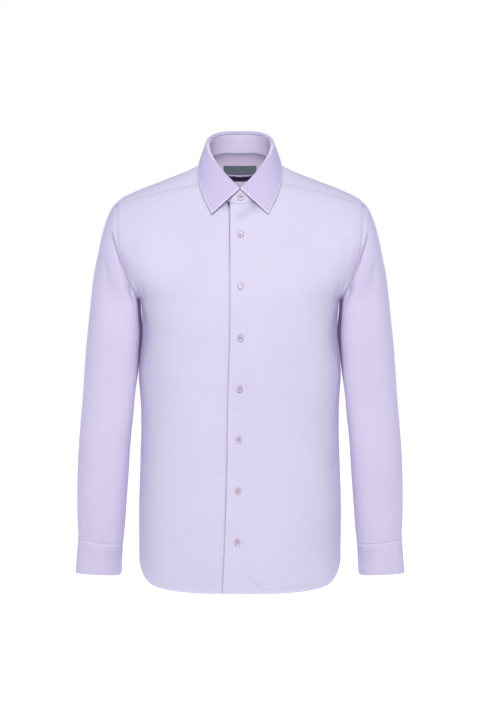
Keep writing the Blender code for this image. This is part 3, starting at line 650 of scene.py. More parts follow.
frontPanel = {
    "upperRows": 96, "topLevels": [1, 0.9975, 0.993], "lowerRows": 150, "lowerLength": 0.505,
    # distances up from the hem at which rows lie close together
    "hemRows": [0.0, 0.0007, 0.0022, 0.0042, 0.0060, 0.0076, 0.0094, 0.0120],
    # shares of the width: close together by the front edge and over the lap, then even
    "edgeColumns": [0.0, 0.002, 0.007, 0.015, 0.026, 0.038], "sideColumns": [0.988, 0.994, 0.9978],
    "denseTo": 0.25, "denseColumns": 48, "columns": 58,
    "hemDepth": 0.0068, "hemExtra": 0.0005, "hemFade": 0.0012,
    "foldDepth": 0.033, "foldExtra": 0.0004, "foldFade": 0.003,
    # the under front steps back below the lap and dips where the lapped edge presses it
    "underEdge": -0.0165, "underGap": 0.0006, "stepStart": 0.034, "stepFade": 0.045,
    "grooveDepth": 0.0018, "grooveHalf": 0.0032, "lapHalf": 0.0172, "opening": math.radians(2.2),
    # height, place of the lapped edge
    "edge": [(-0.740, -0.0305), (-0.645, -0.0262), (-0.541, -0.0228), (-0.402, -0.0208),
             (-0.299, -0.0176), (-0.060, -0.0175)],
    "uneven": 0.0007, "seamShade": 0.06,
}
backPanel = {**frontPanel, "upperRows": 80, "edgeColumns": [0.0], "denseTo": 0.05, "denseColumns": 4,
             "columns": 60, "uneven": 0.0009, "seamShade": 0.25, "seamDip": 0.0006}
frontCreases = [
    ([(194, -60, -105), (184, -75, -165), (166, -60, -238)], 18, 20, 4.2, 0.3, 0.4),
    ([(177, -10, -494), (165.7, -45.8, -518.1), (154.3, -64.3, -544.1)], 9, 14, 2, 0.12, 0.5),
    ([(178, -6, -530), (168, -42, -556), (150, -70, -572)], 10, 14, 0.9, 0.12, 0.6),
    ([(177, -4, -420), (170, -38, -440), (160, -56, -470)], 12, 16, 0.9, 0.12, 0.6),
    ([(186, -70, -192), (177, -48, -222), (172.5, -30, -238)], 3.5, 6, 2.2, 0.25, 0.3),
    ([(176, -80, -190), (170, -60, -226), (171.5, -30, -246)], 5, 7, 1.6, 0.3, 0.3),
    ([(172, -30, -244), (166, -45, -290), (168, -35, -350)], 10, 14, 2, 0.25, 0.5),
]
leftCreases = [
    ([(-15, -76.4, -99), (-2, -71.9, -88), (23, -65.9, -74)], 10, 16, 0.8, 0.4, 0.4),
    ([(-20, -111, -430), (-2, -111, -417), (18, -111, -413)], 6, 8, 0.9, 0.3, 0.5),
    ([(-23, -112, -530), (-6, -112, -542), (13, -112, -544)], 6, 8, 0.9, 0.3, 0.5),
    ([(8.7, -116, -708), (26, -115.5, -722), (43, -114, -733)], 5, 7, 1.4, 0.3, 0.2),
    ([(30, -111, -384), (17, -113, -381), (6, -113, -385)], 5, 6, 0.8, 0.4, 0.2),
]
rightCreases = [
    ([(-27, -110, -420), (-42, -110, -433), (-60, -107, -438)], 6, 8, 0.9, 0.2, 0.6),
    ([(-28, -110, -526), (-43, -110, -536), (-62, -108, -537)], 6, 8, 0.9, 0.2, 0.6),
    ([(-45, -114, -734), (-56, -113, -723), (-64, -111, -709)], 5, 7, 1, 0.1, 0.5),
]
backCreases = [
    ([(190, 70, -130), (180, 82, -180), (158, 66, -260)], 20, 20, 3.4, 0.3, 0.4),
    ([(10, 108, -372), (70, 102, -392), (130, 80, -420), (170, 40, -452)], 22, 30, 3.6, 0.45, 0.45),
    ([(-30, 108, -446), (40, 106, -458), (100, 94, -484), (150, 64, -520)], 20, 30, 3, 0.45, 0.5),
    ([(176, 10, -520), (160, 50, -540), (120, 88, -572)], 14, 22, 2, 0.3, 0.6),
    ([(174, 30, -236), (160, 62, -268), (136, 88, -318)], 14, 20, 2, 0.3, 0.6),
    ([(30, 112, -610), (85, 110, -636), (134, 90, -694)], 22, 30, 2, 0.45, 0.45),
]


def spreadOf(settings):
    near = np.linspace(settings["edgeColumns"][-1], settings["denseTo"], settings["denseColumns"])[1:]
    even = np.linspace(settings["denseTo"], 1, settings["columns"])[1:]
    shares = np.concatenate([settings["edgeColumns"], near, even, settings["sideColumns"]])
    return np.unique(np.round(shares, 6))


def frontTop(spread):
    # how far across and how far up each column starts; of the solid's twelve columns six lie on
    # the neck seam, two of them in the lap, and six on the yoke seam
    column = spread * 12
    lapTurn = -math.asin(frontPanel["lapHalf"] / neck["half"])
    corner = neck["yokeCorner"]
    turns = np.interp(column, [0, 1, 2, 6], [lapTurn, 0.5 * lapTurn, frontPanel["opening"], corner])
    neckX, neckRise = neckAngle(turns)
    cornerX, cornerRise = neckAngle(np.array([corner]))
    share = np.clip((column - 6) / 6, 0, 1)
    onYoke = column > 6
    x = np.where(onYoke, cornerX + (armholeX(neck["frontRise"], frontForm) - cornerX) * share, neckX)
    return x, np.where(onYoke, cornerRise + (neck["frontRise"] - cornerRise) * share, neckRise)


def backTop(spread):
    x = spread * armholeX(neck["backRise"], backForm)
    sideZ = upperPoint(x[-1:], neck["backRise"], backForm)[0, 2]
    return x, riseAt(x, neck["backSeamZ"] + (sideZ - neck["backSeamZ"]) * spread**2, backForm)


def panelGrid(settings, form, top, edgeX):
    # from the top seam down over the chest to the hem, and from the front edge out to the side
    spread = spreadOf(settings)
    topX, topRise = top(spread)

    def turnAt(x, rise):
        return turnFromAcross(x / reachAt(rise, form))

    first = turnAt(topX[0], topRise)
    topShare = (turnAt(topX, topRise) - first) / (armholeTurn(topRise, form) - first)
    rows = []
    levels = np.linspace(1, 0, settings["upperRows"] + 1)[1:]
    for level in [*settings["topLevels"], *levels]:
        rise = topRise * level
        share = spread + (topShare - spread) * level
        inner = turnAt(edgeX(upperPoint(np.zeros(len(topX)), rise, form)[:, 2]), rise)
        inner = inner + (turnAt(topX[0], rise) - inner) * level**4
        turn = inner + (armholeTurn(rise, form) - inner) * share
        rows.append(upperPoint(reachAt(rise, form) * signedPower(np.sin(turn), roundness), rise, form))
    drops = 1 - np.array(settings["hemRows"]) / settings["lowerLength"]
    even = np.linspace(0, drops[-1], settings["lowerRows"])[1:-1]
    for drop in np.concatenate([even, drops[::-1]]):
        turn = quarterTurn * spread
        for _ in range(3):
            hemZ = along(torso["hem"], np.degrees(np.abs(turn)), form["hem"])
            z = torso["chestZ"] + (hemZ - torso["chestZ"]) * drop
            inner = turnFromAcross(edgeX(z) / along(torso["girth"], z, 1))
            turn = inner + (quarterTurn - inner) * spread
        rows.append(lowerPoint(turn, z, form))
    return np.array(rows), spread


def bodyWall(grid, folded=()):
    # thicker where the hem and the front edge are folded
    away = edgeDistances(grid)
    wall = np.full(grid.shape[:2], torso["wall"])
    for name, edges in (("hem", ("bottom",)), ("fold", folded)):
        for edge in edges:
            beyond = ease((away[edge] - frontPanel[name + "Depth"]) / frontPanel[name + "Fade"])
            wall += frontPanel[name + "Extra"] * (1 - beyond)
    return wall


# strengths of the painted shade and paleness on the body, and the places and widths over which they fade
bodyShade = {
    # a paler turned hem, and painted shade along the front edge
    "hem": 0.28, "hemFrom": 0.0050, "hemFade": 0.0016, "edge": 0.3, "edgeWidth": 0.0006,
    # edge, distance in, strength, whether it only shows low down
    "lines": [("bottom", 0.0072, 0.04, False), ("first", 0.0335, 0.015, True), ("first", 0.046, 0.01, True)],
    "lineWidth": 0.0014, "linesFrom": -0.16, "linesFade": 0.1,
    # painted shade beside the sleeve's fold and below the yoke seam, and painted shadow under the collar leaf
    "fold": 0.40, "foldZ": -0.176, "foldHeight": 0.040, "foldWidth": 0.017,
    "yokeSeam": 0.085, "yokeSeamWidth": 0.007, "yokeSeamFrom": 0.06, "yokeSeamFade": 0.02,
    "leaf": 0.30, "leafZ": -0.0500, "leafSlope": 0.76, "leafX": 0.002, "leafWidth": 0.007,
    "leafFrom": 0.004, "leafOver": 0.006, "leafTo": 0.040, "leafEnd": 0.02, "leafAbove": 0.02,
    "leafTop": -0.03,
    # painted shade where the body hangs close to the arm
    "underarm": 0.42, "underarmX": 0.1775, "underarmWidth": 0.0022,
    "armsFrom": -0.385, "armsOver": 0.08, "armsTo": -0.250, "armsEnd": 0.04,
    # painted shadow of the lapped edge, and a painted dark notch under the collar leaf by the band's end
    "lap": 0.45, "lapMore": 0.35, "lapZ": -0.20, "lapOver": 0.08, "lapUnder": 0.0013, "lapWidth": 0.004,
    "notch": 0.95, "notchX": -0.0200, "notchZ": -0.0640, "notchWidth": 0.0035, "notchHeight": 0.010,
    # painted shade of the pull from the collar button: path in millimetres, width, strength, fades
    "pull": ([(-16, -76.4, -101), (-2, -71.9, -88), (33, -60, -69)], 0.0085, 0.17, 0.5, 0.2),
}


def hemShade(grid, *shades):
    # the turned hem is a little paler than the single cloth above it
    shade = np.maximum.reduce(shades)
    beyond = ease((edgeDistances(grid)["bottom"] - bodyShade["hemFrom"]) / bodyShade["hemFade"])
    return np.where(shade > 0.02, shade, -bodyShade["hem"] * (1 - beyond))


def lineShades(grid):
    # painted shade: faint dark lines where the turned hem and front facing end under the cloth, and a darker
    # front edge
    away = edgeDistances(grid)
    low = ease((bodyShade["linesFrom"] - grid[..., 2]) / bodyShade["linesFade"])
    shades = [bodyShade["edge"] * bell(away["first"], bodyShade["edgeWidth"])]
    for edge, place, amount, onlyLow in bodyShade["lines"]:
        shades.append(amount * (low if onlyLow else 1) * bell(away[edge] - place, bodyShade["lineWidth"]))
    return shades


def foldShade(grid, edge):
    # painted soft shade beside the sleeve's fold and below the yoke seam, and painted shadow under the collar
    # leaf where it meets the band
    x, z = np.abs(grid[..., 0]), grid[..., 2]
    away = edgeDistances(grid)
    fold = bodyShade["fold"] * bell(z - bodyShade["foldZ"], bodyShade["foldHeight"])
    fold = fold * bell(away[edge], bodyShade["foldWidth"])
    below = bodyShade["leafZ"] - bodyShade["leafSlope"] * (x - bodyShade["leafX"]) - z
    outer = ease((x - bodyShade["yokeSeamFrom"]) / bodyShade["yokeSeamFade"])
    yokeSeam = bodyShade["yokeSeam"] * bell(away["top"], bodyShade["yokeSeamWidth"]) * outer
    leaf = bodyShade["leaf"] * bell(np.maximum(below, 0), bodyShade["leafWidth"])
    leaf = leaf * ease((x - bodyShade["leafFrom"]) / bodyShade["leafOver"])
    leaf = leaf * ease((bodyShade["leafTo"] - x) / bodyShade["leafEnd"])
    leaf = leaf * (below > -bodyShade["leafAbove"]) * (z < bodyShade["leafTop"])
    return np.maximum.reduce([fold, yokeSeam, leaf])


def closeToArm(z, top):
    # how closely the body and the arm hang together at a height
    upward = ease((z - bodyShade["armsFrom"]) / bodyShade["armsOver"])
    return upward * ease((top - z) / bodyShade["armsEnd"])


def underarmShade(grid):
    # painted shade on the body where it hangs close to the arm
    inward = np.minimum(np.abs(grid[..., 0]) - bodyShade["underarmX"], 0)
    closeBy = closeToArm(grid[..., 2], bodyShade["armsTo"])
    return bodyShade["underarm"] * closeBy * bell(inward, bodyShade["underarmWidth"])


def lapShade(grid):
    # painted shadow of the lapped edge on the front under it, and a painted dark notch under the collar leaf
    # by the band's end
    x, z = grid[..., 0], grid[..., 2]
    beside = x - along(frontPanel["edge"], z, 1)
    upper = bodyShade["lap"] + bodyShade["lapMore"] * ease((z - bodyShade["lapZ"]) / bodyShade["lapOver"])
    lapped = upper * bell(np.minimum(beside, 0), bodyShade["lapUnder"])
    lapped = lapped * bell(np.maximum(beside, 0), bodyShade["lapWidth"])
    notch = bell(x - bodyShade["notchX"], bodyShade["notchWidth"])
    notch = bodyShade["notch"] * notch * bell(z - bodyShade["notchZ"], bodyShade["notchHeight"])
    return np.maximum(lapped, notch)


def settledPanel(grid, settings, creases, seed, edges):
    held, gaps = dict.fromkeys(edges, seam["held"]), dict.fromkeys(edges, halfGap)
    return settled(grid, creases, seed, settings["uneven"], held, gaps, settings["seamShade"],
                   settings.get("seamDip", seam["dip"]))


leftGrid, spread = panelGrid(frontPanel, frontForm, frontTop, lambda z: along(frontPanel["edge"], z, 1))
leftGrid, leftShade = settledPanel(easedChest(leftGrid, spread), frontPanel, frontCreases + leftCreases,
                                   11, ("top", "last"))
frontLeft, frontLeftSkin = clothPiece(
    "frontLeftCloth", leftGrid, bodyPoplin, bodyWall(leftGrid, ("first",)),
    hemShade(leftGrid, leftShade, underarmShade(leftGrid), *lineShades(leftGrid),
             foldShade(leftGrid, "last") + pathShade(leftGrid, *bodyShade["pull"])))

rightGrid, spread = panelGrid(frontPanel, frontForm, frontTop, lambda z: frontPanel["underEdge"] + 0 * z)
rightGrid = easedChest(rightGrid, spread)
across = rightGrid[..., 0]
under = 1 - ease((across - frontPanel["stepStart"]) / frontPanel["stepFade"])
beside = across + along(frontPanel["edge"], rightGrid[..., 2], 1)
sunk = under * (torso["wall"] + torso["lapGap"] + frontPanel["underGap"])
sunk += frontPanel["grooveDepth"] * bell(beside, frontPanel["grooveHalf"])
rightGrid = mirrored(rightGrid - facings(rightGrid) * sunk[..., None])[:, ::-1]
rightGrid, rightShade = settledPanel(rightGrid, frontPanel, mirroredCreases(frontCreases) + rightCreases,
                                     12, ("top", "first"))
frontRight, frontRightSkin = clothPiece(
    "frontRightCloth", rightGrid, bodyPoplin, bodyWall(rightGrid),
    hemShade(rightGrid, rightShade, underarmShade(rightGrid), foldShade(rightGrid, "first"),
             lapShade(rightGrid)))

half, _ = panelGrid(backPanel, backForm, backTop, lambda z: 0 * z)
half[:, 0, 0] = 0
backGrid = joined(half[:, ::-1], half[:, ::-1])
backGrid = easedChest(backGrid, np.linspace(-1, 1, backGrid.shape[1]))
otherCreases = mirroredCreases(backCreases, height=0.985, lower=4, wider=1.1, shallower=0.85)
backGrid, backShade = settledPanel(backGrid, backPanel, backCreases + otherCreases, 13,
                                   ("top", "first", "last"))
backCloth, backSkin = clothPiece("backCloth", backGrid, bodyPoplin, bodyWall(backGrid),
                                 np.maximum(backShade, underarmShade(backGrid)))
print("fronts and back made")

yoke = {
    "armholeColumns": 28, "backColumns": 60, "rows": 92, "edgeLevels": (0.006, 0.990, 0.996),
    "uneven": 0.0004, "seamShade": 0.03,
    # the inner layer behind the neck: where it stands forward, and the groove under it with its painted dark
    # shade
    "smileZ": -0.0138, "smileRise": 0.0036, "halfWidth": 0.030, "bulge": 0.0160, "bulgePower": 0.95,
    "ledge": 0.0085, "ledgeZ": -0.066, "ledgeOver": 0.036, "fadeFrom": 0.056, "fadeOver": 0.018,
    "grooveZ": -0.0222, "grooveShade": 0.86, "topSoft": (0.0004, 0.0008), "lowSoft": (0.0008, 0.0012),
    "standLine": 0.45, "standLineWidth": 0.0009, "behindY": 0.03,
}


def yokeGrid():
    armhole = np.linspace(neck["frontRise"], math.pi - neck["backRise"], yoke["armholeColumns"] + 1)
    seamX, seamRise = backTop(np.linspace(0, 1, yoke["backColumns"] + 1))
    endX = np.concatenate([overArmholeX(armhole), seamX[-2::-1]])
    endAngle = np.concatenate([armhole, math.pi - seamRise[-2::-1]])
    # the fan's spokes keep the same shares as in the solid: 7 of 16 lie on the armhole
    share = np.concatenate([np.linspace(0, 7, yoke["armholeColumns"] + 1),
                            np.linspace(7, 16, yoke["backColumns"] + 1)[1:]]) / 16
    startX, startAngle = neckAngle(neck["yokeCorner"] + (math.pi - neck["yokeCorner"]) * share)
    startX[-1] = 0
    level = evenly(yoke["rows"], *yoke["edgeLevels"])[:, None]
    half = overPoint(startX + (endX - startX) * level, startAngle + (endAngle - startAngle) * level)
    return joined(half, half)


def yokeBulge(x, z):
    # how far the inner layer stands forward behind the neck, and the painted shade of the groove under it
    smile = yoke["smileZ"] + yoke["smileRise"] * (x / yoke["halfWidth"]) ** 2
    seamZ = overPoint(*neckAngle(math.pi - np.arcsin(np.clip(np.abs(x) / neck["half"], 0, 0.95))))[..., 2]
    above = yoke["bulge"] * np.clip((seamZ - z) / (seamZ - smile), 0, 1) ** yoke["bulgePower"] * (z > smile)
    below = yoke["ledge"] * ease((z - yoke["ledgeZ"]) / yoke["ledgeOver"]) * (z < yoke["grooveZ"])
    fade = ease((yoke["fadeFrom"] - np.abs(x)) / yoke["fadeOver"])
    (topStart, topOver), (lowStart, lowOver) = yoke["topSoft"], yoke["lowSoft"]
    groove = ease((smile + topStart - z) / topOver) * ease((z - yoke["grooveZ"] + lowStart) / lowOver)
    return (above + below) * fade, yoke["grooveShade"] * groove * fade


yokePoints, yokeShade = settled(yokeGrid(), [], 14, yoke["uneven"],
                                dict.fromkeys(("top", "bottom", "first", "last"), seam["held"]),
                                dict.fromkeys(("bottom", "first", "last"), halfGap), yoke["seamShade"])
behindNeck = (yokePoints[..., 1] > yoke["behindY"]).astype(float)
bulge, grooveShade = yokeBulge(yokePoints[..., 0], yokePoints[..., 2])
# inside the neck the lining is painted paler than the outside, as painted light, with a painted dark line of
# shade where the stand is sewn on
standLine = yoke["standLine"] * bell(edgeDistances(yokePoints)["top"], yoke["standLineWidth"])
lining = np.maximum(grooveShade, standLine)
lining = np.where(lining > 0.02, lining, -1.0) * behindNeck
yokeCloth, yokeSkin = clothPiece("yokeCloth", yokePoints, bodyPoplin, torso["wall"], yokeShade,
                                 innerPush=-backward * (bulge * behindNeck)[..., None], innerShade=lining)
print("yoke made")

collar = {
    "wall": 0.0016, "standHalf": 0.0536, "standDepth": 0.0515, "standY": -0.008, "lapGap": 0.0008,
    "stepStart": 0.25, "stepFade": 0.45, "seamGap": 0.0002, "bandRounding": 0.011,
    "leafStart": 0.0002, "foldRise": 0.0022, "foldRadius": 0.0034, "leafBulge": 0.0012,
    "standRows": 12, "leafRows": 30, "columns": 92,
    # shares of the lap, and turns from the opening, at which columns lie close together
    "lapShares": [1, 0.99, 0.96, 0.9, 0.8, 0.65, 0.5, 0.33, 0.16], "leafTurns": [0, 0.004, 0.012, 0.025],
    # strengths and widths of the painted shade: the band's end and its seam, and its inside, with a painted
    # dark seam line and painted light elsewhere
    "bandEnd": (0.7, 0.0009), "bandSeam": (0.05, 0.0010), "insideSeam": 0.5, "inside": -0.3,
    # and painted highlights on the leaf's edge and on the crest of its fold, the latter fading out towards
    # the back
    "leafHighlight": (-0.95, 0.0016), "crest": (-0.55, 0.0007), "crestY": 0.004, "crestFade": 0.02,
    # turn in degrees, height of the stand's top edge
    "standTop": [(0, -0.0435), (20, -0.0255), (45, -0.0005), (70, 0.0218), (90, 0.0365), (130, 0.0550),
                 (180, 0.0605), (230, 0.0550)],
    # turn in degrees, and the leaf's lower edge there
    "leafEdge": [
        (0, 0.0474, -0.0762, -0.0845), (28, 0.0655, -0.0530, -0.0470), (55, 0.0725, -0.0302, -0.0170),
        (85, 0.0720, -0.0018, 0.0085), (130, 0.0530, 0.0460, 0.0150), (180, 0.0000, 0.0650, 0.0170),
        (230, -0.0530, 0.0460, 0.0150),
    ],
}


def shadeBell(distance, looks):
    return looks[0] * bell(distance, looks[1])


def standTop(turn):
    x = collar["standHalf"] * np.sin(turn)
    y = collar["standY"] - collar["standDepth"] * np.cos(turn)
    return np.stack([x, y, along(collar["standTop"], np.degrees(np.abs(turn)), 1)], axis=-1)


def neckOutward(turn):
    return np.stack([np.sin(turn), -np.cos(turn), 0 * turn], axis=-1)


def neckStep(turn, right):
    # at the front the right side steps in under the left
    near = 1 - ease((turn - collar["stepStart"]) / collar["stepFade"])
    return neckOutward(turn) * (-(collar["wall"] + collar["lapGap"]) * right * near)[:, None]


def standHalf(turn, right, shares):
    low, high = overPoint(*neckAngle(turn)), standTop(turn)
    low = low + unit(high - low) * collar["seamGap"]
    rounding = collar["bandRounding"] * ease(np.minimum(turn, 0) / turn[0])
    endZ = standTop(np.maximum(turn, 0))[:, 2] - rounding
    kept = (endZ - low[:, 2]) / (high[:, 2] - low[:, 2])
    return low + (high - low) * (shares[:, None, None] * kept[:, None]) + neckStep(turn, right)


def leafHalf(turn, right):
    fold = standTop(turn) + neckStep(turn, right)
    outward = neckOutward(turn)
    rows = [fold + upright * collar["leafStart"], fold + upright * collar["foldRise"]]
    for angle in np.radians(np.linspace(18, 180, 10)):
        rise = collar["foldRise"] + collar["foldRadius"] * math.sin(angle)
        rows.append(fold + upright * rise + outward * collar["foldRadius"] * (1 - math.cos(angle)))
    start, edge = rows[-1], placeAlong(collar["leafEdge"], np.degrees(turn))
    for share in evenly(collar["leafRows"], 0.985, 0.995)[1:]:
        bulge = collar["leafBulge"] * math.sin(math.pi * share) ** 0.8
        rows.append(start + (edge - start) * share + outward * bulge)
    return np.array(rows)


opening = frontPanel["opening"]
lapTurns = -math.asin(frontPanel["lapHalf"] / neck["half"]) * np.array(collar["lapShares"])
standTurns = np.concatenate([lapTurns, np.linspace(opening, math.pi, collar["columns"])])
standShares = evenly(collar["standRows"], 0.02, 0.98)
# rows run from the neck seam up, so they are turned round for the faces to point outwards
standPoints = joined(*(standHalf(standTurns, right, standShares) for right in (0, 1)))[::-1]
away = edgeDistances(standPoints)
# painted shade at the band's end and seam; inside, a painted dark seam line and painted light elsewhere
standShade = np.maximum(shadeBell(away["first"], collar["bandEnd"]),
                        shadeBell(away["bottom"], collar["bandSeam"]))
collarStand, standSkin = clothPiece(
    "collarStandCloth", standPoints, bodyPoplin, collar["wall"], standShade,
    innerShade=np.where(away["bottom"] < 0.001, collar["insideSeam"], collar["inside"]))

leafTurns = np.concatenate([opening + np.array(collar["leafTurns"]),
                            np.linspace(opening + 0.045, math.pi, collar["columns"])])
leafPoints = joined(*(leafHalf(leafTurns, right) for right in (0, 1)))
away = edgeDistances(leafPoints)
# painted highlights along the leaf's edges and along the crest of its fold
nearest = np.minimum.reduce([away["bottom"], away["first"], away["last"]])
belowCrest = leafPoints[..., 2].max(axis=0) - leafPoints[..., 2]
ahead = ease((collar["crestY"] - leafPoints[..., 1]) / collar["crestFade"])
leafShade = np.minimum(shadeBell(nearest, collar["leafHighlight"]), shadeBell(belowCrest, collar["crest"]) * ahead)
collarLeaf, leafSkin = clothPiece("collarLeafCloth", leafPoints, collarPoplin, collar["wall"], leafShade,
                                  edgeRound=0.4)
print("collar made")

sleeve = {
    "wall": 0.0012, "section": 2.5, "straightening": 0.5, "rounding": 0.45, "perColumn": 8, "rows": 190,
    "edgeShares": (0.0012, 0.0030, 0.9975, 0.9990), "underarmGap": 0.0003,
    "tuckAngle": math.radians(137), "tuckSpread": math.radians(27),
    "uneven": 0.0009, "seamShade": 0.03, "held": {"top": 0.004, "bottom": 0.003},
    # painted shade on the side that hangs by the body, broad and narrow, and in the fold at the armhole
    "armsTo": -0.235, "inner": [(0.22, 0.012), (0.40, 0.0035)],
    "fold": ([(224, -16.5, -58), (220, -22.5, -64), (215.5, -27, -70)], 0.0016, 0.40, 0.2, 0.3),
    # share, top x and z, underarm x and z, depth, y, tucks ahead and behind
    "rings": [
        (0.00, 0.2135, -0.0580, 0.1745, -0.2350, 0.070, 0.000, 0.0000, 0.0000),
        (0.05, 0.2260, -0.0710, 0.1785, -0.2350, 0.073, 0.000, 0.0020, 0.0040),
        (0.12, 0.2400, -0.1050, 0.1810, -0.2370, 0.071, 0.000, 0.0060, 0.0125),
        (0.19, 0.2510, -0.1490, 0.1825, -0.2420, 0.068, -0.001, 0.0110, 0.0190),
        (0.26, 0.2590, -0.1920, 0.1830, -0.2500, 0.065, -0.002, 0.0135, 0.0200),
        (0.33, 0.2640, -0.2370, 0.1830, -0.2640, 0.064, -0.004, 0.0135, 0.0175),
        (0.42, 0.2700, -0.2950, 0.1825, -0.2980, 0.062, -0.007, 0.0115, 0.0150),
        (0.52, 0.2755, -0.3600, 0.1848, -0.3600, 0.060, -0.010, 0.0090, 0.0080),
        (0.61, 0.2795, -0.4160, 0.1890, -0.4170, 0.058, -0.013, 0.0060, 0.0005),
        (0.72, 0.2855, -0.4870, 0.1945, -0.4900, 0.055, -0.016, 0.0030, 0.0000),
        (0.83, 0.2885, -0.5560, 0.1998, -0.5620, 0.051, -0.019, 0.0010, 0.0000),
        (0.93, 0.2890, -0.6180, 0.2055, -0.6270, 0.046, -0.021, 0.0000, 0.0000),
        (1.00, 0.2870, -0.6540, 0.2090, -0.6640, 0.041, -0.022, 0.0000, 0.0000),
    ],
}
cuff = {
    "wall": 0.0018, "lapStep": 0.0024, "squareness": 3.6, "openingFacing": (0.45, 0.89, 0),
    "end": (1.0, 0.2915, -0.7150, 0.2118, -0.7185, 0.0375, -0.022, 0.0, 0.0),
    "placketStart": 0.72, "placketGap": 0.0005,
    # painted shade towards the body, and a painted highlight along the seam
    "inner": 0.15, "innerX": 0.247, "innerFade": 0.024, "seamHighlight": (-0.6, 0.0016), "seamPlace": 0.0018,
}
sleeveCreases = [
    ([(223.5, -18, -59), (219.5, -22.5, -64), (216, -26, -69)], 1.2, 1.2, 1.1, 0.2, 0.3),
    ([(229.7, -48, -108), (218, -58.6, -136), (207.5, -68, -164), (193, -69, -197), (184.5, -59, -229),
      (179, -42, -262)], 12, 2.5, 5, 0.05, 0.34),
    ([(180, -36, -228), (176.8, -38, -266), (176.5, -36, -320), (178.2, -30, -352)], 4.2, 6, 8.5, 0.12, 0.2),
    ([(236, -50, -150), (233, -58, -180), (226, -63, -216)], 6, 6, 1.3, 0.4, 0.4),
    ([(236, 52, -150), (222, 66, -190), (200, 62, -250)], 10, 15, 5, 0.3, 0.4),
    ([(246, 30, -180), (236, 52, -220), (212, 62, -280)], 9, 13, 2.8, 0.3, 0.4),
    ([(200, -50, -385), (224, -70, -402), (252, -66, -428)], 12, 20, 1, 0.4, 0.4),
    ([(200, 30, -360), (222, 50, -385), (252, 46, -400)], 11, 16, 4, 0.3, 0.4),
    ([(212, 26, -430), (236, 42, -440), (262, 34, -436)], 10, 14, 3, 0.3, 0.4),
    ([(222, -64, -662), (226, -68, -640), (231, -70, -612)], 4.5, 6, 0.5, 0.1, 0.6),
    ([(244, -66, -660), (246, -70, -642), (249, -72, -622)], 5, 6, 0.4, 0.1, 0.6),
    ([(264, -56, -656), (267, -62, -636), (268, -64, -606)], 4.5, 6.5, 0.6, 0.1, 0.6),
    ([(244, 20, -656), (243, 26, -630), (241, 32, -590)], 4, 7, 3, 0.08, 0.6),
    ([(229, 18, -658), (228, 24, -634), (226, 30, -600)], 4, 7, 2.6, 0.08, 0.6),
]


def ringFrame(ring):
    top, low = np.array([ring[1], 0, ring[2]]), np.array([ring[3], 0, ring[4]])
    half = 0.5 * np.linalg.norm(top - low)
    axis = (top - low) / (2 * half)
    return 0.5 * (top + low) + backward * ring[6], axis, half, np.cross(axis, backward)


def ringPoints(ring, high, wide, bow):
    centre, axis, half, outward = ringFrame(ring)
    return centre + np.outer(high * half, axis) + np.outer(wide * ring[5], backward) + np.outer(bow, outward)


def ringPlaces(ring, points):
    # how high and wide points lie on a ring, as shares of its size, and how far out of its plane
    centre, axis, half, outward = ringFrame(ring)
    away = points - centre
    return away @ axis / half, away[:, 1] / ring[5], away @ outward


def ovalRadius(angle, power):
    return (np.abs(np.cos(angle)) ** power + np.abs(np.sin(angle)) ** power) ** (-1 / power)


def armholeLoop(per):
    frontRise = np.linspace(0, neck["frontRise"], 8 * per + 1)
    front = upperPoint(armholeX(frontRise, frontForm), frontRise, frontForm)
    angles = np.linspace(neck["frontRise"], math.pi - neck["backRise"], 7 * per + 1)
    backRise = np.linspace(neck["backRise"], 0, 6 * per + 1)
    back = upperPoint(armholeX(backRise, backForm), backRise, backForm)
    return np.concatenate([front[:-1], overPoint(overArmholeX(angles), angles)[:-1], back[:-1]])


def evenAngles(angle, blend):
    # angles round a ring, blended towards even ones on each side of its top
    angle = angle.copy()
    index = np.arange(len(angle))
    angle[0] = -math.pi
    top = np.interp(0, angle, index)
    front = math.pi * (index / top - 1)
    behind = math.pi * (index - top) / (len(angle) - top)
    return angle + (np.where(index < top, front, behind) - angle) * blend


def sleeveRing(share, loop):
    high, wide, bow = ringPlaces(sleeve["rings"][0], loop)
    blend = ease(share / sleeve["rounding"])
    angle = evenAngles(np.arctan2(wide, high), blend)
    oval = ovalRadius(angle, sleeve["section"])
    high = high + (oval * np.cos(angle) - high) * blend
    wide = wide + (oval * np.sin(angle) - wide) * blend
    ring = [share] + [float(along(sleeve["rings"], share, column)) for column in range(1, 9)]
    points = ringPoints(ring, high, wide, bow * (1 - ease(share / sleeve["straightening"])))
    for inward, middle in ((ring[7], -sleeve["tuckAngle"]), (ring[8], sleeve["tuckAngle"])):
        points[:, 0] -= inward * bell(angle - middle, sleeve["tuckSpread"])
    return points


def cuffGrid(grid, start, per):
    last = grid[-1]
    top = last + unit(last - grid[-6]) * torso["seamGap"]
    high, wide, _ = ringPlaces(sleeve["rings"][-1], last)
    # the pressed cuff is squarer at its lower edge
    turn = np.arctan2(wide, high)
    squarer = ovalRadius(turn, cuff["squareness"]) / ovalRadius(turn, sleeve["section"])
    bottom = ringPoints(cuff["end"], high * squarer, wide * squarer, 0 * high)
    count, columns = len(last), len(last) // per
    steps = np.arange(count + per + 1)
    share = evenly(18, 0.012, 0.035, 0.965, 0.988)[:, None, None]
    points = (top + (bottom - top) * share)[:, (start + steps) % count]
    lift = np.interp(steps / per, [columns - 2, columns - 1, columns], [0, 0.3, 1]) * cuff["lapStep"]
    outward = unit((points - points.mean(axis=1, keepdims=True)) * np.array([1, 1, 0]))
    return points + outward * lift[:, None]


